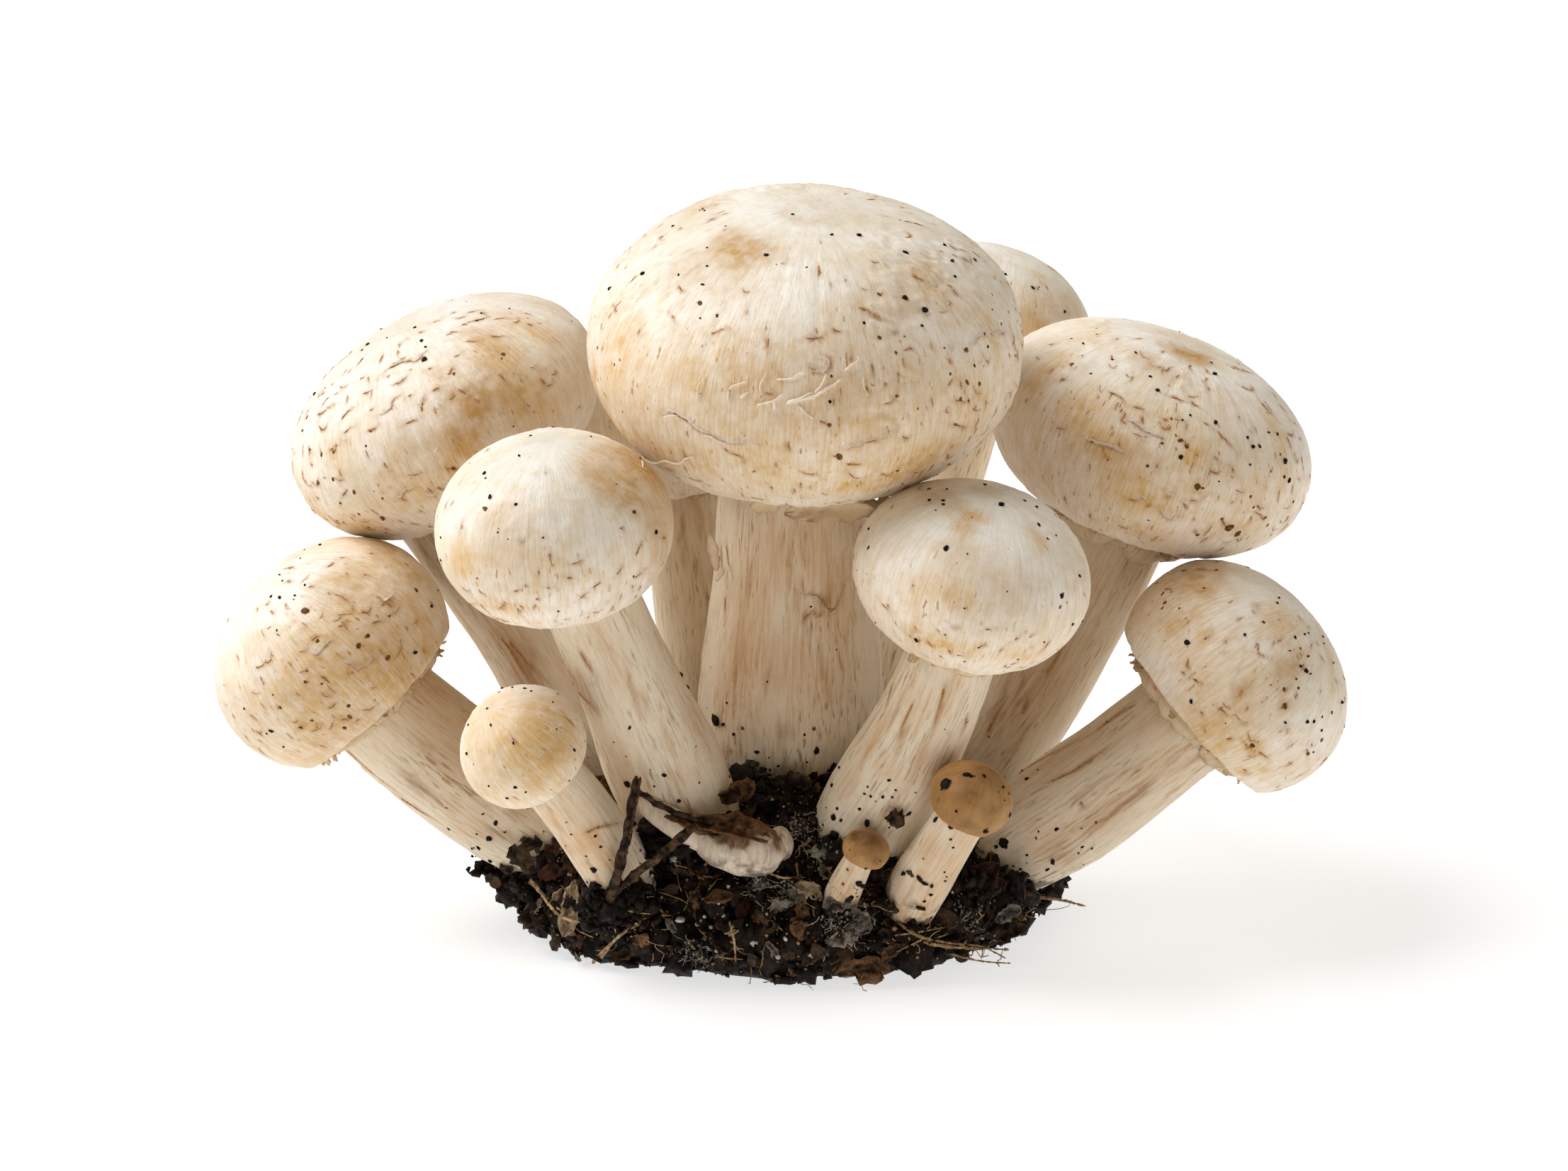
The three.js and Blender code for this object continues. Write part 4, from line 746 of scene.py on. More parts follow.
class StemSettings(bpy.types.PropertyGroup):
    """Sizes and colours of the stems and veils."""

    grid: length_setting("Grid", "Spacing of the points of a stem's skin", 0.4, 0.2, 2)
    ridge: length_setting("Ridges", "Height of the lengthwise ridges", 0.07, 0, 1)
    flesh: colour_setting("Flesh", "Colour of the stem", "#e9dac1")
    streak: colour_setting("Streaks", "Colour of the lengthwise streaks", "#bd9a6f")
    veil: colour_setting("Veil", "Colour of the torn veil", "#dcc7a6")


class SoilSettings(bpy.types.PropertyGroup):
    """Sizes and colours of the casing soil and its litter."""

    crumb: length_setting("Crumb", "Typical size of a soil crumb", 0.9, 0.3, 3)
    crumbs: bpy.props.IntProperty(
        name="Crumbs", description="How many crumbs lie on the clump", default=2600, min=0, max=6000
    )
    peat: colour_setting("Peat", "Colour of the wet peat", "#0d0805")
    dry: colour_setting("Dry peat", "Colour of the dry crumbs", "#35251a")
    bark: colour_setting("Bark", "Colour of the twigs and bark", "#3d2a1c")
    straw: colour_setting("Straw", "Colour of roots and dry leaves", "#cbb088")


class StageSettings(bpy.types.PropertyGroup):
    """The floor, the lights and the surround."""

    floor: colour_setting("Floor", "Colour of the floor", "#b9b9b9")
    key: strength_setting("Key light", "Strength of the broad light at the upper left", 3.2, 20)
    fill: strength_setting("Fill light", "Strength of the broad light at the right", 0.34, 20)
    glow: strength_setting("Floor glow", "Light that comes through the floor", 0.69, 5)
    sky: strength_setting("Surround", "Strength of the white surround", 0.22, 5)


# ------------------------------------------------------------------ numbers


SCATTER = (73856093, 19349663, 83492791, 40503)  # large factors that give each corner its own number
STIR = ((15, 2246822519), (13, 3266489917))  # shifts and factors that stir the bits of that number
WORD = 0xFFFFFFFF  # 32 bits


def lattice_noise(points, size, seed):
    """Smooth noise from -1 to 1 at the points, with lumps of about this size."""
    scaled = np.asarray(points, float) / size
    cell = np.floor(scaled).astype(np.int64)
    part = scaled - cell
    ease = part * part * (3 - 2 * part)
    total = np.zeros(scaled.shape[:-1])
    for corner in itertools.product((0, 1), repeat=3):
        x, y, z = (cell[..., k] + corner[k] for k in range(3))
        word = (x * SCATTER[0] ^ y * SCATTER[1] ^ z * SCATTER[2] ^ seed * SCATTER[3]) & WORD
        for shift, factor in STIR:
            word = (word ^ (word >> shift)) * factor & WORD
        value = ((word ^ (word >> 16)) & 0xFFFF) / 32767.5 - 1
        weight = np.ones(scaled.shape[:-1])
        for k in range(3):
            weight = weight * (ease[..., k] if corner[k] else 1 - ease[..., k])
        total += weight * value
    return total


def layered_noise(points, size, seed, layers=3):
    """Noise with finer lumps on the lumps."""
    total = 0
    for layer in range(layers):
        total = total + lattice_noise(points, size / 2**layer, seed + 17 * layer) / 2**layer
    return total


def by_speed(full):
    """The number given, as in a full run."""
    return full


def unit(vector):
    """A vector, or each row of several, drawn to a length of 1."""
    if vector.ndim == 1:
        return vector / np.linalg.norm(vector)
    return vector / np.linalg.norm(vector, axis=1, keepdims=True)


def smoothstep(low, high, value):
    share = np.clip((value - low) / (high - low), 0, 1)
    return share * share * (3 - 2 * share)


def even_steps(line, step):
    """The points of a polyline at even steps of its length, and that length at each."""
    line = np.asarray(line, float)
    lengths = np.concatenate([[0], np.cumsum(np.linalg.norm(np.diff(line, axis=0), axis=1))])
    count = max(int(round(lengths[-1] / step)), 4)
    at = np.linspace(0, lengths[-1], count + 1)
    return np.stack([np.interp(at, lengths, line[:, k]) for k in range(line.shape[1])], 1), at


def padded(values):
    """Values with one more at each end, in line with the last two."""
    return np.concatenate([[2 * values[0] - values[1]], values, [2 * values[-1] - values[-2]]])


def between(p0, p1, p2, p3, t):
    """The smooth curve through four points, a share t of the way from the second to the third."""
    start = 2 * p1 + (p2 - p0) * t + (2 * p0 - 5 * p1 + 4 * p2 - p3) * t**2
    return 0.5 * (start + (3 * p1 - p0 - 3 * p2 + p3) * t**3)


def curve_through(points):
    """A smooth path through a few points."""
    given = np.array(points, float)
    outer = padded(given)
    t = np.linspace(0, 1, 12, endpoint=False)[:, None]
    path = [between(*outer[k : k + 4], t) for k in range(len(given) - 1)]
    return np.concatenate(path + [given[-1:]])


def curve_of(line, whole):
    """A smooth path of (bearing, distance along) through the points of a mark."""
    bearings = np.unwrap(np.radians([point[0] for point in line]))
    corners = [(bearing, point[1] / 1000 * whole, 0) for bearing, point in zip(bearings, line)]
    return curve_through(corners)[:, :2]


def spokes(line, hint, bearing):
    """Directions straight out from a line at each of its points, all round it."""
    tangent = unit(np.gradient(line, axis=0))
    side = unit(np.cross(tangent, hint))
    front = np.cross(tangent, side)
    return side[:, None] * np.cos(bearing)[:, None] + front[:, None] * np.sin(bearing)[:, None]


def grain_of(bearing, radius, along):
    """The coordinates that fibres follow: round a skin at one radius, and along it."""
    across, forward = radius * np.cos(bearing), radius * np.sin(bearing)
    return np.stack(np.broadcast_arrays(across[None], forward[None], along), -1)


def tilt(lean, nod):
    return Matrix.Rotation(math.radians(lean), 3, "Y") @ Matrix.Rotation(math.radians(nod), 3, "X")


def placed(points, mushroom):
    """Points from a cap's own upright frame in the cluster's."""
    turn = np.array(tilt(mushroom["lean"], mushroom["nod"]))
    return np.asarray(points) @ turn.T + np.array(mushroom["at"], float)


def in_place(parts, mushroom):
    """Parts moved from a cap's own upright frame to the cluster's."""
    return [(placed(points, mushroom), faces, values) for points, faces, values in parts]


def unevenness(angle, seed, amount):
    """How much more or less than its radius a round form reaches at an angle."""
    return 1 + amount * (np.sin(2 * angle + seed) + 0.6 * np.sin(3 * angle - 1.7 * seed))


# ------------------------------------------------------------------ meshes


def grid_triangles(rows, columns, closed=True):
    """Triangles over a grid of points, joined round its rows where it is closed."""
    across = columns if closed else columns - 1
    i, j = np.meshgrid(np.arange(rows - 1), np.arange(across), indexing="ij")
    k = (j + 1) % columns
    a, b, c, d = i * columns + j, i * columns + k, (i + 1) * columns + k, (i + 1) * columns + j
    return np.concatenate([np.stack([a, d, c], -1).reshape(-1, 3), np.stack([a, c, b], -1).reshape(-1, 3)])


def fan(ring, middle, outward):
    """Triangles from a ring of point numbers to one in the middle."""
    after = np.roll(ring, -1)
    centre = np.full(len(ring), middle)
    return np.stack([ring, after, centre] if outward else [after, ring, centre], 1)


def normals_of(points):
    """Unit normals of a closed grid of points."""
    round_it = np.roll(points, -1, 1) - np.roll(points, 1, 1)
    down_it = np.gradient(points, axis=0)
    normal = np.cross(down_it, round_it)
    return normal / np.maximum(np.linalg.norm(normal, axis=-1, keepdims=True), 1e-9)


def sheet_part(points, values=None, closed=True):
    """A grid of points as a part: (points, triangles, values at the points)."""
    rows, columns = points.shape[:2]
    flat = {}
    for name, value in (values or {}).items():
        flat[name] = np.asarray(value).reshape((rows * columns,) + np.asarray(value).shape[2:])
    return points.reshape(-1, 3), grid_triangles(rows, columns, closed), flat


def thin_out(made, share, plain):
    """Join triangles where a mesh is plain, until the given share is left."""
    group = made.vertex_groups.new(name="plain")
    group.add(np.flatnonzero(plain).tolist(), 1, "REPLACE")
    thinning = made.modifiers.new("Thinning", "DECIMATE")
    thinning.ratio = share
    thinning.vertex_group = group.name
    thinned = bpy.data.meshes.new_from_object(made.evaluated_get(bpy.context.evaluated_depsgraph_get()))
    made.modifiers.clear()
    made.vertex_groups.clear()
    full, made.data = made.data, thinned
    bpy.data.meshes.remove(full)
    thinned.name = made.name


def join(parts):
    """Parts as one: all their points, all their triangles, and each named value at every point."""
    starts = np.cumsum([0] + [len(spots) for spots, _, _ in parts])
    points = np.concatenate([spots for spots, _, _ in parts])
    triangles = np.concatenate([faces + start for (_, faces, _), start in zip(parts, starts)])
    values = {}
    for key in sorted({key for _, _, given in parts for key in given}):
        shape = (3,) if key == "grain" else ()
        values[key] = np.concatenate(
            [given.get(key, np.zeros((len(spots), *shape))) for spots, _, given in parts]
        )
    return points, triangles, values


def new_mesh(name, points, triangles, values):
    """A smooth mesh of triangles that keeps each named value at its points."""
    mesh = bpy.data.meshes.new(name)
    mesh.vertices.add(len(points))
    mesh.vertices.foreach_set("co", points.astype(np.float32).ravel())
    mesh.loops.add(triangles.size)
    mesh.loops.foreach_set("vertex_index", triangles.astype(np.int32).ravel())
    mesh.polygons.add(len(triangles))
    mesh.polygons.foreach_set("loop_start", np.arange(0, triangles.size, 3, dtype=np.int32))
    for key, value in values.items():
        kind, field = ("FLOAT_VECTOR", "vector") if value.ndim == 2 else ("FLOAT", "value")
        layer = mesh.attributes.new(key, kind, "POINT")
        layer.data.foreach_set(field, value.astype(np.float32).ravel())
    mesh.update(calc_edges=True)
    mesh.validate()
    mesh.shade_smooth()
    return mesh


def piece(name, parts, material, nodes=()):
    """One mesh object made of parts, which rides on the cluster and stands for the named nodes."""
    points, triangles, values = join(parts)
    points = points * MM
    points[:, 2] = np.maximum(points[:, 2], 0)
    mesh = new_mesh(name, points, triangles, values)
    mesh.materials.append(material)
    made = bpy.data.objects.new(name, mesh)
    bpy.context.scene.collection.objects.link(made)
    share = next((share for ending, share in KEPT.items() if name.endswith(ending)), 1)
    if share < 1:
        plain = np.ones(len(points), bool)
        if "torn" in values:
            plain = values["torn"] < PLAIN
            plain[len(parts[0][0]) :] = False
        thin_out(made, share, plain)
    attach(made, "root")
    if nodes:
        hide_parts(*nodes)
    return made


def on_grid(field, row, column):
    """Values of a closed grid between its points."""
    rows, columns = field.shape[:2]
    row = np.clip(row, 0, rows - 1.001)
    i, j = np.floor(row).astype(int), np.floor(column).astype(int)
    u, v = (row - i)[..., None], (column - j)[..., None]
    j, k = j % columns, (j + 1) % columns
    before = field[i, j] * (1 - u) + field[i + 1, j] * u
    after = field[i, k] * (1 - u) + field[i + 1, k] * u
    return before * (1 - v) + after * v


# ------------------------------------------------------------------ skins


def path_frame(skin, path, step=0.3):
    """A path of (bearing, distance along) laid flat: its points in millimetres, the direction down
    across it, and how far it has come in between its tapered ends."""
    path = np.asarray(path, float)
    start = path[0, 0]
    turn = (path[:, 0] - start + math.pi) % FULL_TURN - math.pi
    wide = np.interp(path[:, 1].mean(), skin["along"], skin["radius"])
    flat, _ = even_steps(np.stack([turn * wide, path[:, 1]], 1), step)
    tangent = np.gradient(flat, axis=0)
    tangent /= np.maximum(np.linalg.norm(tangent, axis=1, keepdims=True), 1e-6)
    across = np.stack([-tangent[:, 1], tangent[:, 0]], 1)
    across *= 1 if across[:, 1].mean() >= 0 else -1
    share = np.linspace(0, 1, len(flat))
    return start, wide, flat, across, np.sin(np.clip(share, 0.03, 0.97) * math.pi) ** 0.5


def tear(skin, path, rise, reach, random, shown=0.9):
    """Tear the skin along a path: it stands up above the path, drops below it and browns where shown.

    Returns the thin lip that overhangs the drop.
    """
    start, wide, flat, across, taper = path_frame(skin, path)
    flat = flat + across * (0.14 * random.standard_normal(len(flat)) * min(reach, 1))[:, None]
    step, columns, along = skin["step"], skin["columns"], skin["along"]
    low, high = flat.min(0) - 2.2 * reach, flat.max(0) + 2.2 * reach
    rows = np.arange(max(int(low[1] / step), 1), min(int(high[1] / step) + 1, len(along) - 1))
    first = (start + low[0] / wide) / FULL_TURN * columns
    last = (start + high[0] / wide) / FULL_TURN * columns
    span = np.arange(int(math.floor(first)), int(math.ceil(last)) + 1)
    if len(rows) == 0 or len(span) > columns:
        return []
    u = (span / columns * FULL_TURN - start) * wide
    spots = np.stack(np.broadcast_arrays(u[None], along[rows][:, None]), -1)
    apart = spots[:, :, None] - flat[None, None]
    away = np.linalg.norm(apart, axis=-1)
    nearest = away.argmin(-1)
    distance = away.min(-1)
    side = np.take_along_axis((apart * across[None, None]).sum(-1), nearest[..., None], -1)[..., 0]
    held = taper[nearest]
    above = np.exp(-((distance / reach) ** 2)) * rise
    below = -0.35 * np.exp(-((distance / (0.5 * reach)) ** 2)) * rise
    place = np.ix_(rows, span % columns)
    skin["points"][place] += skin["normals"][place] * (np.where(side < 0, above, below) * held)[..., None]
    line = np.exp(-(((side - 0.05) / 0.26) ** 2)) * (distance < 0.8) * held
    skin["torn"][place] = np.maximum(skin["torn"][place], shown * line)
    halo = 0.4 * np.exp(-((distance / (0.9 * reach)) ** 2)) * held
    skin["tan"][place] = np.maximum(skin["tan"][place], halo)
    return lip_parts(skin, start, wide, flat, across, taper, rise)


def lip_parts(skin, start, wide, flat, across, taper, rise):
    """The lip along a tear: a sheet that rises to its edge, and one that folds back under it."""
    offsets = np.array([-0.5, -0.2, 0.08, 0.18, 0.0])
    heights = np.array([-0.08, 0.04, 0.03, -0.14, -0.1])
    spots = flat[None] + across[None] * (offsets[:, None] * (0.4 + 0.6 * taper))[..., None]
    lift = rise * taper[None] * np.array([1, 1, 1, 1, 0])[:, None] + heights[:, None] * taper[None]
    row, column = spots[..., 1] / skin["step"], (start + spots[..., 0] / wide) / FULL_TURN * skin["columns"]
    points = on_grid(skin["base"], row, column) + on_grid(skin["normals"], row, column) * lift[..., None]
    values = dict(
        grain=on_grid(skin["grain"], row, column),
        bruise=on_grid(skin["bruise"][..., None], row, column)[..., 0],
        torn=np.array([0, 0.2, 0.7, 0.85, 0.9])[:, None] * taper[None],
        tan=0.3 * np.ones(row.shape),
    )
    return [
        sheet_part(points[rows], {key: value[rows] for key, value in values.items()}, closed=False)
        for rows in (slice(0, 4), slice(3, 5))
    ]


def on_skin(skin, path, height):
    """The points of a path of (bearing, distance along), raised above a skin."""
    path = np.asarray(path, float)
    row, column = path[:, 1] / skin["step"], path[:, 0] / FULL_TURN * skin["columns"]
    outward = on_grid(skin["normals"], row, column)
    return on_grid(skin["points"], row, column) + outward * np.asarray(height)[..., None]


def small_arc(bearing, along, width, wide, random):
    """A short torn line that hangs down in the middle, as a path of (bearing, distance along)."""
    t = np.linspace(-1, 1, 5)
    hang = width * random.uniform(0.1, 0.42)
    sharp = random.uniform(0.6, 2)
    u, v = t * width / 2, hang * (1 - np.abs(t) ** sharp)
    turn = random.normal(0, 0.35)
    x, y = u * math.cos(turn) - v * math.sin(turn), u * math.sin(turn) + v * math.cos(turn)
    return np.stack([bearing + x / wide, along + y], 1)


def cap_outline(cap, step):
    """[radius, height] from the apex over the margin and in to the stem, at even steps."""
    radius, dome, belly, tuck, fullness = (cap[k] for k in ("radius", "dome", "belly", "tuck", "fullness"))
    upper = np.radians(np.linspace(90, 0, 90))
    lower = np.linspace(0, -math.asin(tuck / belly), 60)
    over = np.stack([radius * np.cos(upper) ** fullness, dome * np.sin(upper) ** fullness], 1)
    under = np.stack([radius * np.cos(lower) ** PLUMP, belly * np.sin(lower)], 1)
    margin = under[-1][0]
    inner = [
        [margin - ROLL * radius, 0.2 * HOLLOW * radius - tuck],
        [0.7 * cap["radii"][3], HOLLOW * radius * 0.7 - tuck],
    ]
    line, _ = even_steps(np.concatenate([over, under[1:], inner]), step / 4)
    reach = max(int(0.045 * radius / (step / 4)), 1)
    mirrored = np.concatenate([line[reach:0:-1] * [-1, 1], line, np.repeat(line[-1:], reach, 0)])
    kernel = np.ones(2 * reach + 1) / (2 * reach + 1)
    soft = np.stack([np.convolve(mirrored[:, k], kernel, "valid") for k in (0, 1)], 1)
    soft[0, 0] = 0
    return even_steps(soft, step)


def patches(marks, bearing, along, radius, whole, blot):
    """How strongly each point of a grid is coloured by soft-edged, blotted patches."""
    shade = np.zeros((len(along), len(bearing)))
    for where, share, across, drawn, strength in marks:
        turn = (bearing[None] - math.radians(where) + math.pi) % FULL_TURN - math.pi
        past = (along - share / 1000 * whole)[:, None]
        apart = np.hypot(turn * radius[:, None] / across, past / drawn) + blot
        shade = np.maximum(shade, strength * np.exp(-(np.maximum(apart, 0) ** 2.6)))
    return shade


def cap_relief(cap, number, points, grain, along, margin, lump):
    """How far a cap's skin stands out from its even form: broad lumps, fibres, a fine unevenness, the
    wrinkled margin, and crumpled patches below the crown."""
    size = cap["radius"] / 30
    height = lump * size * layered_noise(points, 16 * size + 3, number)
    fibres = lattice_noise(grain / [1, 1, 9], 1.6, number + 5) * 0.06
    fibres = fibres + lattice_noise(grain / [1, 1, 8], 0.8, number + 6) * 0.03
    height = height + fibres * smoothstep(2, 0.6 * cap["radius"], along)[:, None]
    height += 0.05 * layered_noise(points, 1.5, number + 9, 2)
    over_margin = np.exp(-(((along - margin) / (0.07 * cap["radius"])) ** 2))[:, None]
    height += over_margin * 0.35 * size * layered_noise(grain / [1, 1, 40], 4, number + 12)
    crumple = smoothstep(0.05, 0.4, lattice_noise(points, 9 * size + 2, number + 30))
    below = smoothstep(0.12, 0.25, along / margin) * smoothstep(1.1, 0.7, along / margin)
    folds = 1 - np.abs(lattice_noise(points / [1, 0.6, 1], 1.8, number + 31)) * 2
    height += 0.2 * min(size, 1) ** 1.5 * (crumple * below[:, None]) * folds
    return height


def cap_skin(cap, order, settings):
    """The closed skin of a cap as a grid, and what its material needs to know at each point."""
    step = settings.grid / MM * GRIDS.get(cap["name"], 1) * by_speed(1)
    outline, along = cap_outline(cap, step)
    columns = int(FULL_TURN * cap["radius"] / step)
    bearing = np.linspace(0, FULL_TURN, columns, endpoint=False)
    radius = outline[:, :1] * unevenness(bearing, SEED_STEP * order, CAP_UNEVENNESS)[None]
    height = np.repeat(outline[:, 1:], columns, 1)
    points = np.stack([radius * np.cos(bearing), radius * np.sin(bearing), height], -1)
    normals = normals_of(points)
    normals[0] = (0, 0, 1)
    grain = grain_of(bearing, cap["radius"], along[:, None])
    margin = along[np.argmax(outline[:, 1] <= -cap["tuck"] + 0.3)]
    number = 100 * order
    rough = cap_relief(cap, number, points, grain, along, margin, settings.lump / MM)
    wavy = points + normals * rough[..., None]
    down = np.clip(along / margin, 0, 1.2)[:, None]
    blot = 0.25 * layered_noise(points, 5, number + 3, 3)
    bruise, tan = (
        patches(MARKS[cap["name"]].get(kind, ()), bearing, along, outline[:, 0], margin, blot)
        for kind in ("bruises", "tans")
    )
    # Darker tan towards the margin: partly the skin's own tan, partly painted shade on the lower flank, which
    # turns away from the light.
    lower_tan_and_shade = smoothstep(0.2, 0.85, down) * (0.36 + 0.14 * layered_noise(points, 12, number + 4, 2))
    return dict(
        points=wavy, base=wavy.copy(), normals=normals, grain=grain, bruise=bruise,
        tan=np.clip(1.35 * tan + lower_tan_and_shade, 0, 1), torn=np.zeros(blot.shape),
        under=smoothstep(1.0, 1.06, down) * np.ones_like(blot), along=along,
        radius=np.maximum(outline[:, 0], 1), step=along[1], margin=margin, columns=columns,
    )


def sliver(skin, path, thick):
    """A thin dry sliver, half sunk in the skin along a path."""
    steps = max(len(path) // 4, 1)
    line = on_skin(skin, path[::steps], np.full(len(path[::steps]), -0.25 * thick))
    points, faces, _ = tube_part(line, thick, 5, 0.25, 5, 0.35)
    return points, faces, dict(dry=np.ones(len(points)))


def shred_material():
    """Shreds of mushroom skin, dried where they were torn: thin, stiff and orange-brown."""
    return once("dried skin shreds, orange-brown", "#9a6735", "#cb985a", 0.6, 0.8, 0.04)


def without_shreds(name, parts):
    """Make the dry slivers among the parts a piece of their own, and return the other parts."""
    dry = [part for part in parts if "dry" in part[2]]
    if dry:
        piece(name, dry, shred_material())
    return [part for part in parts if "dry" not in part[2]]


LIP_FROM = 1.2  # only a tear larger than this has a lip of its own


def mark_skin(marks, skin, whole, rise, random):
    """Tear a skin and pull threads from it where its marks say."""
    parts = []
    for line in marks.get("ledges", ()):
        size = min(max(len(line) * 0.25, 0.6), 1.3)
        path = curve_of(line, whole)
        lips = tear(skin, path, 0.22 * rise * size, 0.5 * size, random)
        parts += lips if size > LIP_FROM else []
        parts.append(sliver(skin, path[len(path) // 8 : -len(path) // 8], random.uniform(0.11, 0.18)))
    for line in marks.get("threads", ()):
        path = curve_of(line, whole)
        share = np.linspace(0, 1, len(path))
        height = 0.16 + 0.25 * np.sin(share * math.pi) * random.uniform(0.4, 1.5)
        thick = random.uniform(0.12, 0.2) * (1.6 if len(line) > 6 else 1)
        tube = tube_part(on_skin(skin, path, height), thick, 6, 0.3, 3, 0.6)
        values = dict(tan=np.full(len(tube[0]), 0.4), torn=np.full(len(tube[0]), 0.05))
        parts.append((*tube[:2], values))
    return parts


def speck_parts(marks, kind, skin, whole, number, spread, random):
    """Specks that cling to a skin: those of its marks and a few more in between."""
    specks = [(math.radians(where), share / 1000 * whole, size) for where, share, size in marks.get(kind, ())]
    for _ in range(number):
        specks.append((random.uniform(0, FULL_TURN), spread(random) * whole, random.uniform(0.2, 0.4)))
    specks = np.array(specks)
    centres = on_skin(skin, specks[:, :2], np.zeros(len(specks)))
    outward = on_skin(skin, specks[:, :2], np.ones(len(specks))) - centres
    flat, size = (0.5, 1) if kind == "specks" else (0.25, 0.72)
    return lump_parts(centres, outward, size * specks[:, 2], random, 2, flat, 0.2, 1.6, 0.16)


def speck_material():
    """Crumbs of peat that stuck to damp skin: nearly black, a little glossy."""
    return once("casing soil specks, moist", "#0c0908", "#2a1f17", 0.5, 0.5, 0.05)


def fleck_material():
    """Flecks of dried peat and bruised pores: warm brown, flat in the skin."""
    return once("peat flecks, dry and brown", "#563518", "#a06c38", 0.5, 0.5, 0.05)


def cling(name, marks, skin, whole, numbers, spread, random, cap=None):
    """Let specks of soil and flecks of peat cling to a skin, each kind as a piece."""
    for kind, number, material in zip(("specks", "pits"), numbers, (speck_material, fleck_material)):
        specks = speck_parts(marks, kind, skin, whole, number, spread, random)
        if cap:
            specks = in_place(specks, cap)
        piece(name + "_" + kind, specks, material())


def small_tears(cap, skin, rise, random):
    """The many small tears between the marks of a cap: most run down with the fibres, some hang across."""
    parts = []
    for where, spread, share, share_spread, number, size in cap["scales"]:
        for _ in range(number // by_speed(1)):
            down = random.normal(share, share_spread)
            if not 0.15 < down < 0.98:
                continue
            along = down * skin["margin"]
            bearing = math.radians(random.uniform(where - spread, where + spread)) % FULL_TURN
            wide = np.interp(along, skin["along"], skin["radius"])
            width = 0.7 * size * random.lognormal(0, 0.4)
            if random.random() < 0.72:
                run = np.linspace(0, 0.8 * width, 4)
                path = np.stack([bearing + np.cumsum(random.normal(0.04, 0.12, 4)) / wide, along + run], 1)
                shown = random.uniform(0.25, 1)
                tear(skin, path, 0.06, 0.3, random, shown)
                if shown > 0.5:
                    parts.append(sliver(skin, path, 0.15 * shown))
                continue
            path = small_arc(bearing, along, width, wide, random)
            shown = random.uniform(0.4, 0.9)
            lips = tear(skin, path, rise * random.uniform(0.06, 0.2), 0.25 * width, random, shown)
            parts += lips if random.random() < 0.15 else [sliver(skin, path, 0.17 * shown)]
    return parts


# ------------------------------------------------------------------ materials


def add_node(tree, kind, inputs=None, **settings):
    """A node with its settings, each input given a value or linked to another node's output."""
    made = tree.nodes.new(kind)
    for name, value in settings.items():
        setattr(made, name, value)
    for name, value in (inputs or {}).items():
        if isinstance(value, bpy.types.NodeSocket):
            tree.links.new(value, made.inputs[name])
        else:
            made.inputs[name].default_value = value
    return made


def rgba(colour):
    return (*colour, 1)


def new_material(name, **shader):
    """A material with one Principled shader, its uniform values set on the shader's own sockets."""
    material = bpy.data.materials.new(name)
    material.use_nodes = True
    material.node_tree.nodes.clear()
    surface = add_node(material.node_tree, "ShaderNodeBsdfPrincipled", shader)
    add_node(material.node_tree, "ShaderNodeOutputMaterial", {"Surface": surface.outputs[0]})
    return material, material.node_tree, surface


def mixed(tree, share, first, second):
    """Two colours mixed by a share."""
    made = tree.nodes.new("ShaderNodeMix")
    made.data_type = "RGBA"
    for socket, value in ((made.inputs[0], share), (made.inputs[6], first), (made.inputs[7], second)):
        if isinstance(value, bpy.types.NodeSocket):
            tree.links.new(value, socket)
        else:
            socket.default_value = value
    return made.outputs[2]


def ranged(tree, value, low, high, to_low=0.0, to_high=1.0):
    """A value stretched from one range to another, and held inside it."""
    return add_node(
        tree, "ShaderNodeMapRange",
        {0: value, 1: low, 2: high, 3: to_low, 4: to_high}, clamp=True,
    ).outputs[0]


def tinted(tree, colour, *tints):
    """A colour with others laid over it one by one, each given as (share, colour)."""
    for share, tint in tints:
        colour = mixed(tree, share, colour, rgba(tint))
    return colour


def relief(tree, height, strength, depth, under=None):
    """A relief of a depth in millimetres, laid over another if there is one."""
    inputs = {"Strength": strength, "Distance": depth * MM, "Height": height}
    if under:
        inputs["Normal"] = under
    return add_node(tree, "ShaderNodeBump", inputs).outputs[0]


def product(tree, first, second):
    return add_node(tree, "ShaderNodeMath", {0: first, 1: second}, operation="MULTIPLY").outputs[0]


def noise_value(tree, where, size, detail=2.0, stretch=None, rough=0.5):
    """Noise with features of a size in the units of its coordinates, drawn out along one if asked."""
    if stretch:
        where = add_node(tree, "ShaderNodeMapping", {0: where, 3: stretch}).outputs[0]
    return add_node(
        tree, "ShaderNodeTexNoise", {"Vector": where, "Scale": 1 / size, "Detail": detail, "Roughness": rough}
    ).outputs[0]


def attribute(tree, name, field="Fac"):
    return add_node(tree, "ShaderNodeAttribute", attribute_name=name).outputs[field]


def dress(tree, surface, colour, bumps):
    """Give a shader its colour and its relief."""
    tree.links.new(colour, surface.inputs["Base Color"])
    tree.links.new(bumps, surface.inputs["Normal"])


# Light enters mushroom flesh a little way, red the farthest.
FLESH = {
    "IOR": 1.4, "Subsurface Weight": 0.12, "Subsurface Radius": (1.0, 0.55, 0.28),
    "Subsurface Scale": 1.2 * MM,
}


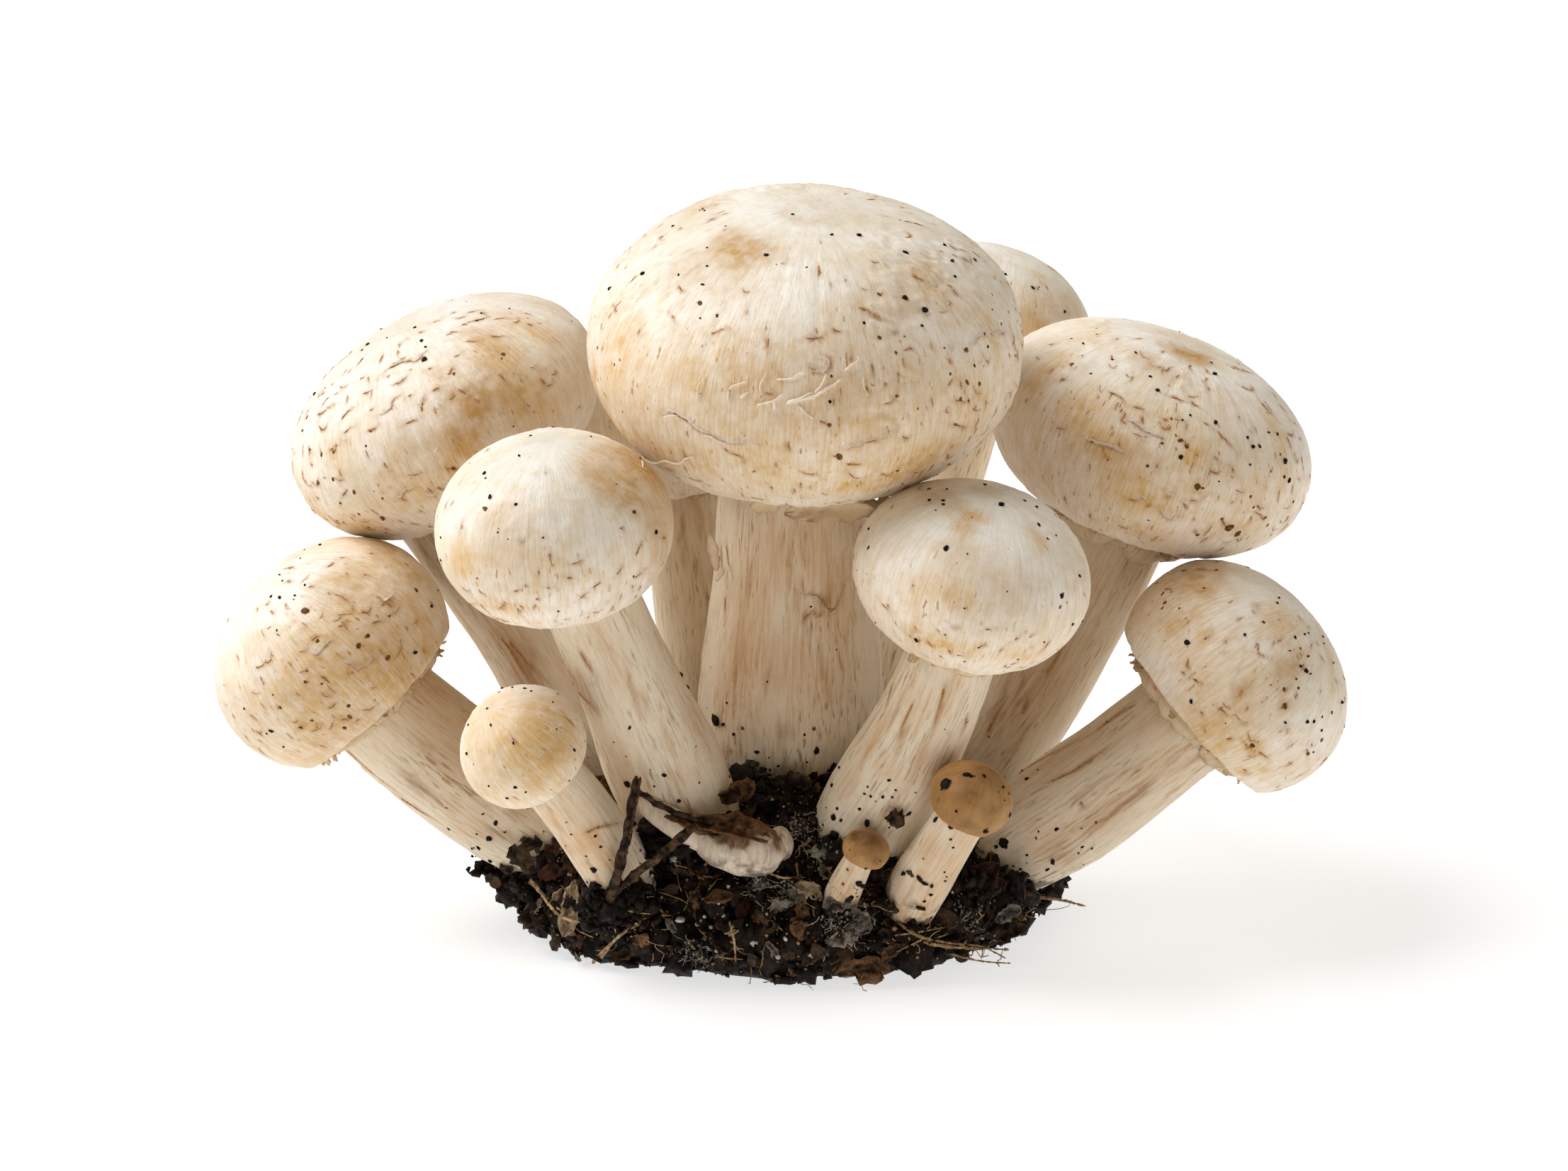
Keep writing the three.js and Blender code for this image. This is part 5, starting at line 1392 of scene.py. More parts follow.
def cap_skin_material(name, base, streak, stained, bruise, torn):
    """Fresh mushroom cap skin, as grown: pale and dull, with fine silky fibres that run down from the
    crown, soft tan patches, orange-brown bruises made of small dots, and dry torn edges.  The tan and
    bruise colours also lay painted shade on the lower flank and in a few shaded places."""
    material, tree, surface = new_material(name, **FLESH, **{"Specular IOR Level": 0.3})
    grain = attribute(tree, "grain", "Vector")
    place = add_node(tree, "ShaderNodeTexCoord").outputs["Object"]
    streaks = noise_value(tree, grain, 0.9, 3, (1, 1, 0.12))
    fine = noise_value(tree, grain, 0.32, 3, (1, 1, 0.1), 0.6)
    blotch = noise_value(tree, place, 9 * MM, 4, rough=0.6)
    mottle = noise_value(tree, place, 1.8 * MM, 4, rough=0.6)
    grit = noise_value(tree, place, 0.42 * MM, 2)
    dashes = noise_value(tree, grain, 0.55, 2, (1, 1, 0.3))
    # The tan attribute also holds painted shade low on the flank, and the bruise attribute a painted shadow
    # in a few shaded places.
    tan = attribute(tree, "tan")
    tanned = product(tree, tan, ranged(tree, mottle, 0.25, 0.6, 0.6, 1))
    tanned = product(tree, tanned, ranged(tree, fine, 0.35, 0.6, 0.6, 1))
    dashed = product(tree, ranged(tree, dashes, 0.66, 0.72, 0, 0.7), ranged(tree, tan, 0.1, 0.4))
    dark = product(tree, attribute(tree, "bruise"), ranged(tree, mottle, 0.3, 0.62, 0.5, 1))
    edge = product(tree, attribute(tree, "torn"), ranged(tree, mottle, 0.3, 0.6, 0.4, 1))
    colour = tinted(
        tree, rgba(base),
        (ranged(tree, blotch, 0.42, 0.72, 0, 0.5), streak),
        (ranged(tree, mottle, 0.5, 0.8, 0, 0.4), streak),
        (ranged(tree, streaks, 0.5, 0.75, 0, 0.3), streak),
        (ranged(tree, fine, 0.48, 0.7, 0, 0.4), streak),
        (tanned, stained),
        (dashed, torn),
        (dark, bruise),
        (ranged(tree, grit, 0.7, 0.78, 0, 0.45), stained),
        (product(tree, attribute(tree, "under"), 0.6), linear("#ae9373")),
        (attribute(tree, "stain"), linear("#5d3c1f")),
        (edge, torn),
    )
    bumps = relief(tree, fine, 0.6, 0.1)
    bumps = relief(tree, mottle, 0.7, 0.2, bumps)
    bumps = relief(tree, grit, 0.5, 0.08, bumps)
    dress(tree, surface, colour, bumps)
    tree.links.new(ranged(tree, mottle, 0.3, 0.7, 0.42, 0.6), surface.inputs["Roughness"])
    return material


def stem_material(name, base, streak, dirt_colour):
    """Mushroom stem flesh, as grown: soft and dull, with straight fine fibres, orange-tan where it was
    handled, dirty where it leaves the soil."""
    material, tree, surface = new_material(name, **FLESH, **{"Roughness": 0.6, "Specular IOR Level": 0.25})
    grain = attribute(tree, "grain", "Vector")
    place = add_node(tree, "ShaderNodeTexCoord").outputs["Object"]
    fibres = noise_value(tree, grain, 0.5, 4, (1, 1, 0.09), 0.6)
    fine = noise_value(tree, grain, 0.3, 3, (1, 1, 0.1), 0.6)
    flecks = noise_value(tree, grain, 0.45, 2, (1, 1, 0.16))
    patch = noise_value(tree, grain, 5, 3, (1, 1, 0.3))
    mottle = noise_value(tree, place, 2 * MM, 4)
    grit = noise_value(tree, place, 0.4 * MM, 2)
    lines = product(tree, ranged(tree, fibres, 0.5, 0.72, 0, 0.9), ranged(tree, patch, 0.35, 0.65, 0.3, 1))
    flecked = product(
        tree, ranged(tree, flecks, 0.58, 0.68, 0, 0.75), ranged(tree, patch, 0.42, 0.6, 0.2, 1)
    )
    tanned = product(tree, attribute(tree, "tan"), ranged(tree, fibres, 0.3, 0.6, 0.5, 1))
    dark = product(tree, attribute(tree, "bruise"), ranged(tree, fibres, 0.35, 0.6, 0.3, 1))
    soiled = product(tree, attribute(tree, "dirt"), ranged(tree, mottle, 0.45, 0.6, 0, 1))
    colour = tinted(
        tree, rgba(base),
        (lines, streak),
        (ranged(tree, mottle, 0.55, 0.85, 0, 0.3), streak),
        (flecked, linear("#9c7c5a")),
        (tanned, linear("#cb9a63")),
        (dark, linear("#94683d")),
        (ranged(tree, grit, 0.72, 0.8, 0, 0.4), linear("#94683d")),
        (soiled, dirt_colour),
        (attribute(tree, "stain"), linear("#5d3c1f")),
        (attribute(tree, "torn"), linear("#a8743f")),
    )
    dress(tree, surface, colour, relief(tree, mottle, 0.4, 0.15, relief(tree, fine, 0.6, 0.14)))
    return material


def earthy_material(name, dark, light, roughness, size, depth):
    """Something dry and rough from the soil, two colours of it broken up at a size in millimetres."""
    material, tree, surface = new_material(
        name, **{"Roughness": roughness, "IOR": 1.45, "Specular IOR Level": 0.15}
    )
    place = add_node(tree, "ShaderNodeTexCoord").outputs["Object"]
    broad = noise_value(tree, place, size * MM, 4, rough=0.65)
    fine = noise_value(tree, place, size * 0.2 * MM, 3, rough=0.6)
    rim = product(tree, attribute(tree, "rim"), ranged(tree, fine, 0.4, 0.6, 0.3, 1))
    colour = tinted(
        tree, rgba(dark),
        (ranged(tree, broad, 0.42, 0.68), light), (ranged(tree, fine, 0.3, 0.5, 0.5, 0), dark), (rim, light),
    )
    dress(tree, surface, colour, relief(tree, fine, 0.8, depth))
    return material


def once(name, dark, light, *texture):
    """The earthy material of this name, made when it is first asked for."""
    made = bpy.data.materials.get(name)
    return made or earthy_material(name, linear(dark), linear(light), *texture)


# ------------------------------------------------------------------ pieces


def grow_cap(cap, order, settings, material):
    """The skin of one cap, its dried shreds, and the specks and flecks that cling to it."""
    random = np.random.default_rng(SEEDS["cap"] + order)
    skin = cap_skin(cap, order, settings)
    name, marks = cap["name"] + "_cap", MARKS[cap["name"]]
    rise = settings.lift / MM * min(1, (cap["radius"] / 23) ** 0.5)
    torn = mark_skin(marks, skin, skin["margin"], rise, random)
    torn += small_tears(cap, skin, rise, random)
    values = {key: skin[key] for key in ("grain", "bruise", "tan", "under", "torn")}
    parts = in_place([sheet_part(skin["points"], values)] + torn, cap)
    parts = without_shreds(name + "_shreds", parts)
    piece(name + "_skin", parts, material, [name])
    numbers = (3 + int(cap["radius"] / 6), 3 + int(cap["radius"] / 2))
    cling(name, marks, skin, skin["margin"], numbers, lambda r: r.uniform(0.2, 1), random, cap)


class CLUSTER_OT_caps(bpy.types.Operator):
    """Grow the skins of the caps with their torn scales"""

    bl_idname = "cluster.caps"
    bl_label = "Caps"

    def execute(self, context):
        own = context.scene.cluster_caps
        cream = cap_skin_material(
            "cream cap skin, fresh and torn", own.cream, own.tan, own.stained, own.bruise, own.torn
        )
        umber = linear("#5f3f26")
        brown = cap_skin_material(
            "brown cap skin, fresh", own.brown, linear("#7a512c"), linear("#a97c48"), umber, umber
        )
        for order, cap in enumerate(MUSHROOMS):
            if cap["name"] in BROWN:
                grow_cap(cap, order, own, brown)
            else:
                grow_cap(cap, order, own, cream)
        return {"FINISHED"}


def direction(turn):
    return np.array(tilt(*turn) @ Vector((0, 0, 1)))


def stem_line(mushroom, step):
    """The middle line of a stem, its radius, and the length along it."""
    start = np.array(mushroom["root"], float)
    reach = HOLLOW * mushroom["radius"] + SOCKET * mushroom["dome"] - mushroom["tuck"]
    end = placed([(*mushroom["offset"], reach)], mushroom)[0]
    bow = STEM_BOW * np.linalg.norm(end - start)
    rooted = start + bow * direction(mushroom["root_turn"])
    necked = end - bow * direction(mushroom["neck_turn"])
    t = np.linspace(0, 1, 200)[:, None]
    curve = (1 - t) ** 3 * start + 3 * t * (1 - t) ** 2 * rooted + 3 * t * t * (1 - t) * necked + t**3 * end
    line, along = even_steps(curve, step)
    share = along / along[-1] * 3
    outer = padded(np.array(mushroom["radii"], float))
    k = np.minimum(share.astype(int), 2)
    radius = between(*(outer[k + n] for n in range(4)), share - k)
    return line, radius, along


def stem_dirt(points, seed):
    """How dirty a stem is at each of its points, up to where the soil stands round it."""
    ground = SOIL_TOP - SOIL_FALL * np.hypot(points[..., 0], 1.2 * points[..., 1])
    return 0.7 * smoothstep(3.5, -0.5, points[..., 2] - ground + 3 * layered_noise(points, 3, seed, 3))


def stem_skin(stem, order, settings):
    """The skin of a stem as a grid, and what its material needs to know at each point."""
    step = settings.grid / MM * GRIDS.get(stem["name"], 1) * by_speed(1)
    line, radius, along = stem_line(stem, step)
    thick = max(stem["radii"])
    size = thick / 8
    columns = int(FULL_TURN * thick / step)
    bearing = np.linspace(0, FULL_TURN, columns, endpoint=False)
    outward = spokes(line, (0, -1, 0), bearing)
    grain = grain_of(bearing, thick, along[:, None])
    number = 300 + 10 * order
    ridges = 0.6 * lattice_noise(grain / [1, 1, 9], 1, number)
    ridges = ridges + 0.5 * lattice_noise(grain / [1, 1, 8], 0.5, number + 1)
    height = settings.ridge / MM * ridges * min(size, 1)
    height = height + 0.3 * size * layered_noise(grain / [1, 1, 2], 7, number + 2, 2)
    foot = np.exp(-along / (1.2 * thick))[:, None]
    height += foot * 0.45 * size * layered_noise(grain, 2.6, number + 3)
    points = line[:, None] + outward * (radius[:, None] + height)[..., None]
    marks = STEM_MARKS.get(stem["name"], {})
    blot = 0.25 * layered_noise(points, 4, number + 4, 3)
    bruise, tan = (
        patches(marks.get(kind, ()), bearing, along, radius, along[-1], blot) for kind in ("bruises", "tans")
    )
    handled = np.clip(lattice_noise(grain / [1, 1, 4], 4, number + 5) * 1.2 - 0.5, 0, 0.5)
    return dict(
        points=points, base=points.copy(), normals=outward, grain=grain, bruise=bruise,
        tan=np.maximum(tan, handled), torn=np.zeros(tan.shape), dirt=stem_dirt(points, number + 6),
        along=along, radius=radius, step=along[1], columns=columns,
    )


def split_stem(skin, thick, random):
    """The fine splits that run up a stem."""
    along = skin["along"]
    for _ in range(int(along[-1] * thick * 0.035)):
        start, length = random.uniform(0.25, 0.85) * along[-1], random.uniform(4, 12) * min(thick / 8, 1.2)
        turn = random.uniform(0, FULL_TURN)
        bend = np.cumsum(random.normal(0, 0.25, 6)) / thick
        path = np.stack([turn + bend, np.minimum(start + np.linspace(0, length, 6), 0.95 * along[-1])], 1)
        tear(skin, path, random.uniform(0.03, 0.1), 0.5, random, random.uniform(0.15, 0.6))


def grow_stem(stem, order, settings, flesh):
    """The skin of one stem, its dried shreds, and the specks and flecks that cling to it."""
    random = np.random.default_rng(SEEDS["stem"] + order)
    skin = stem_skin(stem, order, settings)
    name, marks = stem["name"] + "_stem", STEM_MARKS.get(stem["name"], {})
    thick, whole = max(stem["radii"]), skin["along"][-1]
    parts = mark_skin(marks, skin, whole, 0.3 if thick > 12 else 0.16, random)
    parts = without_shreds(name + "_shreds", parts)
    split_stem(skin, thick, random)
    values = {key: skin[key] for key in ("grain", "bruise", "tan", "dirt", "torn")}
    parts = [sheet_part(skin["points"], values)] + parts + flap_parts(name, random)
    piece(name + "_skin", parts, flesh, [name])
    numbers = (4 + int(2 * thick), 4 + int(thick))
    cling(name, marks, skin, whole, numbers, lambda r: min(0.12 + r.exponential(0.16), 0.8), random)


class CLUSTER_OT_stems(bpy.types.Operator):
    """Grow the fibrous stems with their slivers"""

    bl_idname = "cluster.stems"
    bl_label = "Stems"

    def execute(self, context):
        own, soil = context.scene.cluster_stems, context.scene.cluster_soil
        flesh = stem_material("white stem flesh, fibrous", own.flesh, own.streak, soil.dry)
        for order, stem in enumerate(MUSHROOMS):
            grow_stem(stem, order, own, flesh)
        return {"FINISHED"}


VEIL_ROWS, OUTER_EDGE, LOWER_EDGE = 26, slice(1, 5), slice(10, 16)
# How many shreds hang from the rim of each veil, and the larger flaps of loose skin: where, length,
# width and how the length is turned seen from the front.
FRINGE = dict(centre=26, left_outer=34, right_outer=22, left_upper=20, right_upper=26, left_front=8)
FLAPS = dict(
    centre_stem=[
        ((-9.8, -6.6, 56.4), 5.4, 1.3, 100), ((-8.9, -8.4, 53.8), 2.2, 0.8, 60),
        ((11.6, -9.6, 61), 2.4, 1.2, 30),
    ],
    centre_veil=[
        ((6.4, -23, 67.4), 12.5, 3, 2), ((12.6, -22, 67.6), 5, 2.4, 12), ((-2.6, -23, 68), 4, 2, -4),
    ],
)


def loose_flap(place, along, facing, long, wide, edge, tan, random):
    """One flap of loose skin, browned at its edge."""
    points, faces, values = leaf_part(place, along, facing, long, wide, random)
    return points, faces, dict(torn=edge * values["rim"], tan=np.full(len(points), tan))


def flap_parts(name, random):
    """Loose flaps of skin that stand off a stem or hang from a veil."""
    parts = []
    for place, long, wide, turn in FLAPS.get(name, ()):
        turn = math.radians(turn)
        along = np.array([math.cos(turn), 0, math.sin(turn)])
        facing = FACING + 0.2 * random.standard_normal(3)
        parts.append(loose_flap(np.array(place), along, facing, long, wide, 0.6, 0.25, random))
    return parts


def veil_sheet(cap, outer, order):
    """The torn skin under a cap: out at the margin, down in ragged folds, and in to the stem."""
    drop, neck, top = cap["veil"][1], cap["radii"][3], -cap["tuck"]
    lip = neck + 0.3 * (outer - neck)
    bearing = np.linspace(0, FULL_TURN, int(FULL_TURN * outer / by_speed(0.6)), endpoint=False)
    circle = np.stack([np.cos(bearing), np.sin(bearing), 0 * bearing], 1)
    number = 500 + 10 * order
    rag = layered_noise(circle * outer, 3.2, number)
    wave = layered_noise(circle * outer, 7, number + 1)
    hang = drop * (1 + 0.35 * wave + 0.25 * rag)
    torn_out = outer * (1 + 0.03 * rag)
    outline = [
        (torn_out, top + 0.1), (torn_out, top - 0.45), (0.5 * (torn_out + lip), top - 0.45 - 0.62 * hang),
        (lip + 0.3 * rag, top - hang - 0.1), (lip - 0.3 + 0.3 * rag, top - hang - 0.35),
        (lip - 0.8, top - hang + 0.3), (neck + 0.1, top - 0.6 * hang), (neck - 0.6, top - 0.5 * hang),
    ]
    corners = np.stack([np.stack([r + 0 * bearing, z + 0 * bearing], 1) for r, z in outline])
    share = np.linspace(0, len(outline) - 1, VEIL_ROWS)
    k = np.minimum(share.astype(int), len(outline) - 2)
    f = (share - k)[:, None, None]
    line = corners[k] * (1 - f) + corners[k + 1] * f
    points = np.stack([line[..., 0] * np.cos(bearing), line[..., 0] * np.sin(bearing), line[..., 1]], -1)
    grain = grain_of(bearing, outer, line[..., 0])
    points[..., 2] += 0.12 * lattice_noise(grain / [1, 1, 5], 1.2, number + 2)
    torn = np.zeros(points.shape[:2])
    torn[OUTER_EDGE] = 0.35
    torn[LOWER_EDGE] = 0.6 * np.clip(rag, 0, 1)
    return sheet_part(points, dict(grain=grain, torn=torn))


def veil_fringe(cap, outer, random):
    """The small shreds that hang from the outer rim of a veil."""
    parts = []
    for turn in random.uniform(0, FULL_TURN, FRINGE.get(cap["name"], 10)):
        out = np.array([math.cos(turn), math.sin(turn), 0])
        spot = out * (outer - 0.4) + [0, 0, -cap["tuck"] - random.uniform(0.3, 0.9)]
        hanging = [0, 0, -1] + 0.5 * out + 0.5 * random.standard_normal(3)
        long = random.uniform(1, 2.6)
        wide = long * random.uniform(0.4, 1)
        parts.append(loose_flap(spot, hanging, out, long, wide, 0.5, 0.3, random))
    return parts


class CLUSTER_OT_veils(bpy.types.Operator):
    """Hang the torn veils between the margins and the stems"""

    bl_idname = "cluster.veils"
    bl_label = "Veils"

    def execute(self, context):
        own = context.scene.cluster_stems
        tissue = stem_material("veil tissue, torn", own.veil, own.streak, linear("#b08c66"))
        for order, cap in enumerate(MUSHROOMS):
            if cap["veil"] is None:
                continue
            random = np.random.default_rng(SEEDS["veil"] + order)
            neck = cap["radii"][3]
            margin = cap["radius"] * math.cos(math.asin(cap["tuck"] / cap["belly"]))
            outer = neck + cap["veil"][0] * (margin - ROLL * cap["radius"] - neck)
            parts = in_place([veil_sheet(cap, outer, order)] + veil_fringe(cap, outer, random), cap)
            name = cap["name"] + "_veil"
            parts += flap_parts(name, random)
            piece(name + "_tissue", parts, tissue, [name])
        return {"FINISHED"}


# ------------------------------------------------------------------ soil and litter


def tube_part(path, radius, sides=8, rough=0.0, seed=0, taper=1.0):
    """A round strand along a path, uneven and closed at both ends."""
    line, along = even_steps(path, max(radius * 1.2, 0.25))
    outward = spokes(line, (0.31, 0.2, 0.93), np.linspace(0, FULL_TURN, sides, endpoint=False))
    share = along / along[-1]
    size = radius * (1 + (taper - 1) * share)
    size[[0, -1]] *= 0.4
    points = line[:, None] + outward * size[:, None, None]
    if rough:
        points = points + outward * (rough * radius * layered_noise(points, radius * 1.6, seed, 2))[..., None]
    spots, faces, _ = sheet_part(points)
    count = len(spots)
    ends = np.arange(sides)
    last = ends + (len(line) - 1) * sides
    faces = np.concatenate([faces, fan(ends, count, True), fan(last, count + 1, False)])
    return np.concatenate([spots, line[:1], line[-1:]]), faces, {}


def sphere_points(level):
    """The points and triangles of a ball of radius 1, made by splitting an icosahedron."""
    mesh = bpy.data.meshes.new("ball")
    ball = bmesh.new()
    bmesh.ops.create_icosphere(ball, subdivisions=level, radius=1)
    ball.to_mesh(mesh)
    ball.free()
    points = np.empty(len(mesh.vertices) * 3)
    mesh.vertices.foreach_get("co", points)
    faces = np.array([p.vertices[:] for p in mesh.polygons])
    bpy.data.meshes.remove(mesh)
    return points.reshape(-1, 3), faces


def lump_parts(places, normals, sizes, random, level=1, flat=0.6, sink=0.2, long=1.3, rough=0.28):
    """Many uneven grains, each sunk a little into what it lies on."""
    ball, faces = sphere_points(level)
    parts = []
    for place, normal, size in zip(places, normals, sizes):
        shape = ball * (1 + rough * random.standard_normal(len(ball)))[:, None]
        shape = shape * random.uniform(0.7, long, 3) * [1, 1, flat]
        up = unit(normal)
        side = unit(np.cross(up, random.standard_normal(3)))
        turned = shape @ np.stack([side, np.cross(up, side), up])
        parts.append((place + up * size * (flat - sink) * 0.5 + turned * size / 2, faces, {}))
    return parts


def soil_skin(step):
    """The mound of soil as a closed grid, rough with crumbs."""
    profile = np.array(SOIL_PROFILE, float)
    profile[:, 0] *= SOIL_SPAN
    outline, _ = even_steps(profile, step)
    columns = int(FULL_TURN * (SOIL_SPAN + SOIL_DEPTH) / 2 / step)
    bearing = np.linspace(0, FULL_TURN, columns, endpoint=False)
    share = outline[:, :1] / SOIL_SPAN * np.ones(columns)
    x, y = share * np.cos(bearing), share * np.sin(bearing)
    z = outline[:, 1:] * np.ones(columns)
    edge = unevenness(bearing, 0.6, 0.02) + 0.025 * np.sin(7 * bearing) + 0.015 * np.sin(11 * bearing + 2)
    lump = 1 + 0.05 * np.sin(5 * x + 2) * np.sin(6 * y) + 0.04 * np.sin(9 * bearing + z)
    z = np.minimum(z, SOIL_WAIST) + np.maximum(z - SOIL_WAIST, 0) * (1 - SOIL_SAG * x**2) * lump
    points = np.stack([x * edge * SOIL_SPAN, y * edge * SOIL_DEPTH, z], -1)
    normals = -normals_of(points)
    clods = 1 - 2 * np.abs(lattice_noise(points, 5.5, 700)) + 0.5 * lattice_noise(points, 2.4, 701)
    rough = 0.9 * clods + 0.7 * layered_noise(points, 9, 702, 2)
    rough = rough + 0.5 * (1 - 2 * np.abs(layered_noise(points, 1.5, 720, 3)))
    wild = smoothstep(0, 3, points[..., 2])
    points = points + normals * (rough * (0.3 + 0.7 * wild))[..., None]
    points[..., 2] = np.where(outline[:, 1:] <= 0, 0, np.maximum(points[..., 2], 0))
    return points[::-1], normals[::-1]


def soil_places(points, normals, number, random, lowest=1.0):
    """Random places on the mound, even over its surface, and the normals there."""
    area = np.linalg.norm(np.cross(np.gradient(points, axis=0), np.roll(points, -1, 1) - points), axis=-1)
    area = np.where(points[..., 2] > lowest, area, 0).ravel()
    chosen = random.choice(area.size, number, p=area / area.sum())
    return points.reshape(-1, 3)[chosen], normals.reshape(-1, 3)[chosen]


def solid_tree(names):
    """A search tree over the named objects, in millimetres."""
    points, faces, count = [], [], 0
    for name in names:
        mesh = bpy.data.objects[name].data
        flat = np.empty(len(mesh.vertices) * 3)
        mesh.vertices.foreach_get("co", flat)
        corners = np.empty(len(mesh.polygons) * 3, int)
        mesh.polygons.foreach_get("vertices", corners)
        points.append(flat.reshape(-1, 3) / MM)
        faces.append(corners.reshape(-1, 3) + count)
        count += len(mesh.vertices)
    return BVHTree.FromPolygons(np.concatenate(points).tolist(), np.concatenate(faces).tolist())


def laid(tree, place, lift=0.0, reach=5.0):
    """A place moved out to the front until it lies on top of what is there."""
    start = Vector(place) + OUTWARD * reach
    hit = tree.ray_cast(start, -OUTWARD, 2 * reach)[0]
    return np.array((hit if hit else Vector(place)) + OUTWARD * lift)


def laid_curve(tree, path, lift):
    """A smooth path through points that are each laid on what is there."""
    return curve_through([laid(tree, place, lift) for place in path])


def peat_material(own):
    """Casing peat, wet and crumbly: nearly black, with brown where a crumb has dried."""
    return earthy_material("peat, wet and crumbly", own.peat, own.dry, 0.5, 1.6, 0.35)


def dust_material():
    """Peat dust that dried on top: light brown grit that catches the light."""
    return once("peat dust, dry", "#4d3723", "#c9a877", 0.9, 0.7, 0.05)


def perlite_material():
    """Perlite, blown and chalky: white, dull and pitted."""
    return once("perlite grains, chalky", "#b9b2a6", "#f4f0e8", 0.9, 0.8, 0.1)


def clod_parts(points, normals, thin, random):
    """Clods heaped against the feet of the stems, and others strewn over the mound."""
    parts = []
    for middle, spread, size, number in HEAPS:
        shift = random.normal(0, 0.5, (number, 3)) * spread * [1, 0.5, 0.8]
        places = np.array(middle) + shift + [0, -0.3, -0.4]
        sizes = size * random.lognormal(-0.25, 0.4, number)
        parts += lump_parts(places, random.standard_normal((number, 3)), sizes, random, 3, 0.9, 0.4, 1.5, 0.2)
    places = soil_places(points, normals, CLODS // thin, random, 2)
    sizes = random.uniform(1.4, 3.4, CLODS // thin)
    return parts + lump_parts(*places, sizes, random, 3, 0.8, 0.35, 1.5, 0.2)


def crumb_parts(points, normals, crumb, number, thin, random):
    """Crumbs all over the mound, fine ones and a fifth as many coarse ones, and fine ones in the heaps."""
    places = soil_places(points, normals, number, random)
    parts = lump_parts(*places, crumb * random.lognormal(0, 0.4, number), random, 1)
    number = number // 5
    places = soil_places(points, normals, number, random)
    parts += lump_parts(*places, 2 * crumb * random.lognormal(0, 0.3, number), random, 2)
    for middle, spread, _, number in HEAPS:
        number = 2 * number // thin
        shift = random.normal(0, 0.62, (number, 3)) * spread * [1, 0.5, 0.85]
        places = np.array(middle) + shift + [0, -1, 0]
        ups = random.standard_normal((number, 3))
        parts += lump_parts(places, ups, crumb * random.lognormal(0, 0.4, number), random, 1)
    return parts


def dust_parts(points, normals, tree, number, random):
    """Flat dry grit on whatever lies on top."""
    places, ups = soil_places(points, normals, number, random, 0.5)
    places = [laid(tree, place, 0.05) for place in places]
    return lump_parts(places, ups, random.uniform(0.16, 0.5, number), random, 1, 0.7)


def perlite_parts(points, normals, tree, random):
    """White grains: the ones with a place of their own, and strays."""
    places = [laid(tree, place, 0.1) for place, _ in GRAINS]
    sizes = [size for _, size in GRAINS]
    spare = soil_places(points, normals, STRAYS, random, 1.5)[0]
    places += [laid(tree, place, 0.05) for place in spare]
    sizes += list(random.uniform(0.3, 0.6, STRAYS))
    ups = random.standard_normal((len(places), 3))
    return lump_parts(places, ups, sizes, random, 2, 0.8, 0.3, 1.3, 0.12)


class CLUSTER_OT_soil(bpy.types.Operator):
    """Heap up the casing soil with its clods, crumbs and grains"""

    bl_idname = "cluster.soil"
    bl_label = "Casing soil"

    def execute(self, context):
        own = context.scene.cluster_soil
        random = np.random.default_rng(SEEDS["soil"])
        thin = by_speed(1)
        ground = soil_skin(by_speed(0.6))
        peat = peat_material(own)
        piece("soil_mound", [sheet_part(ground[0])], peat, ["soil_clump"])
        piece("soil_clods", clod_parts(*ground, thin, random), peat)
        crumbs = crumb_parts(*ground, own.crumb / MM, own.crumbs // thin, thin, random)
        piece("soil_crumbs", crumbs, peat)
        tree = solid_tree(SOIL_PIECES)
        dust = dust_parts(*ground, tree, DUST // thin, random)
        piece("soil_dust", dust, dust_material())
        grains = perlite_parts(*ground, tree, random)
        piece("perlite_grains", grains, perlite_material())
        return {"FINISHED"}


def wandering(place, normal, length, random):
    """A curved path that starts at a place and keeps near the surface there."""
    up = unit(normal)
    heading = unit(np.cross(up, random.standard_normal(3)))
    path = [place - up * 0.4]
    for _ in range(7):
        heading = unit(heading + 0.45 * random.standard_normal(3) + up * random.normal(0.02, 0.2))
        path.append(path[-1] + heading * length / 7)
    path = np.array(path)
    path[:, 2] = np.maximum(path[:, 2], 0.3)
    return path


LEAF_ROWS, LEAF_COLUMNS, LEAF_THICK = 10, 7, 0.16


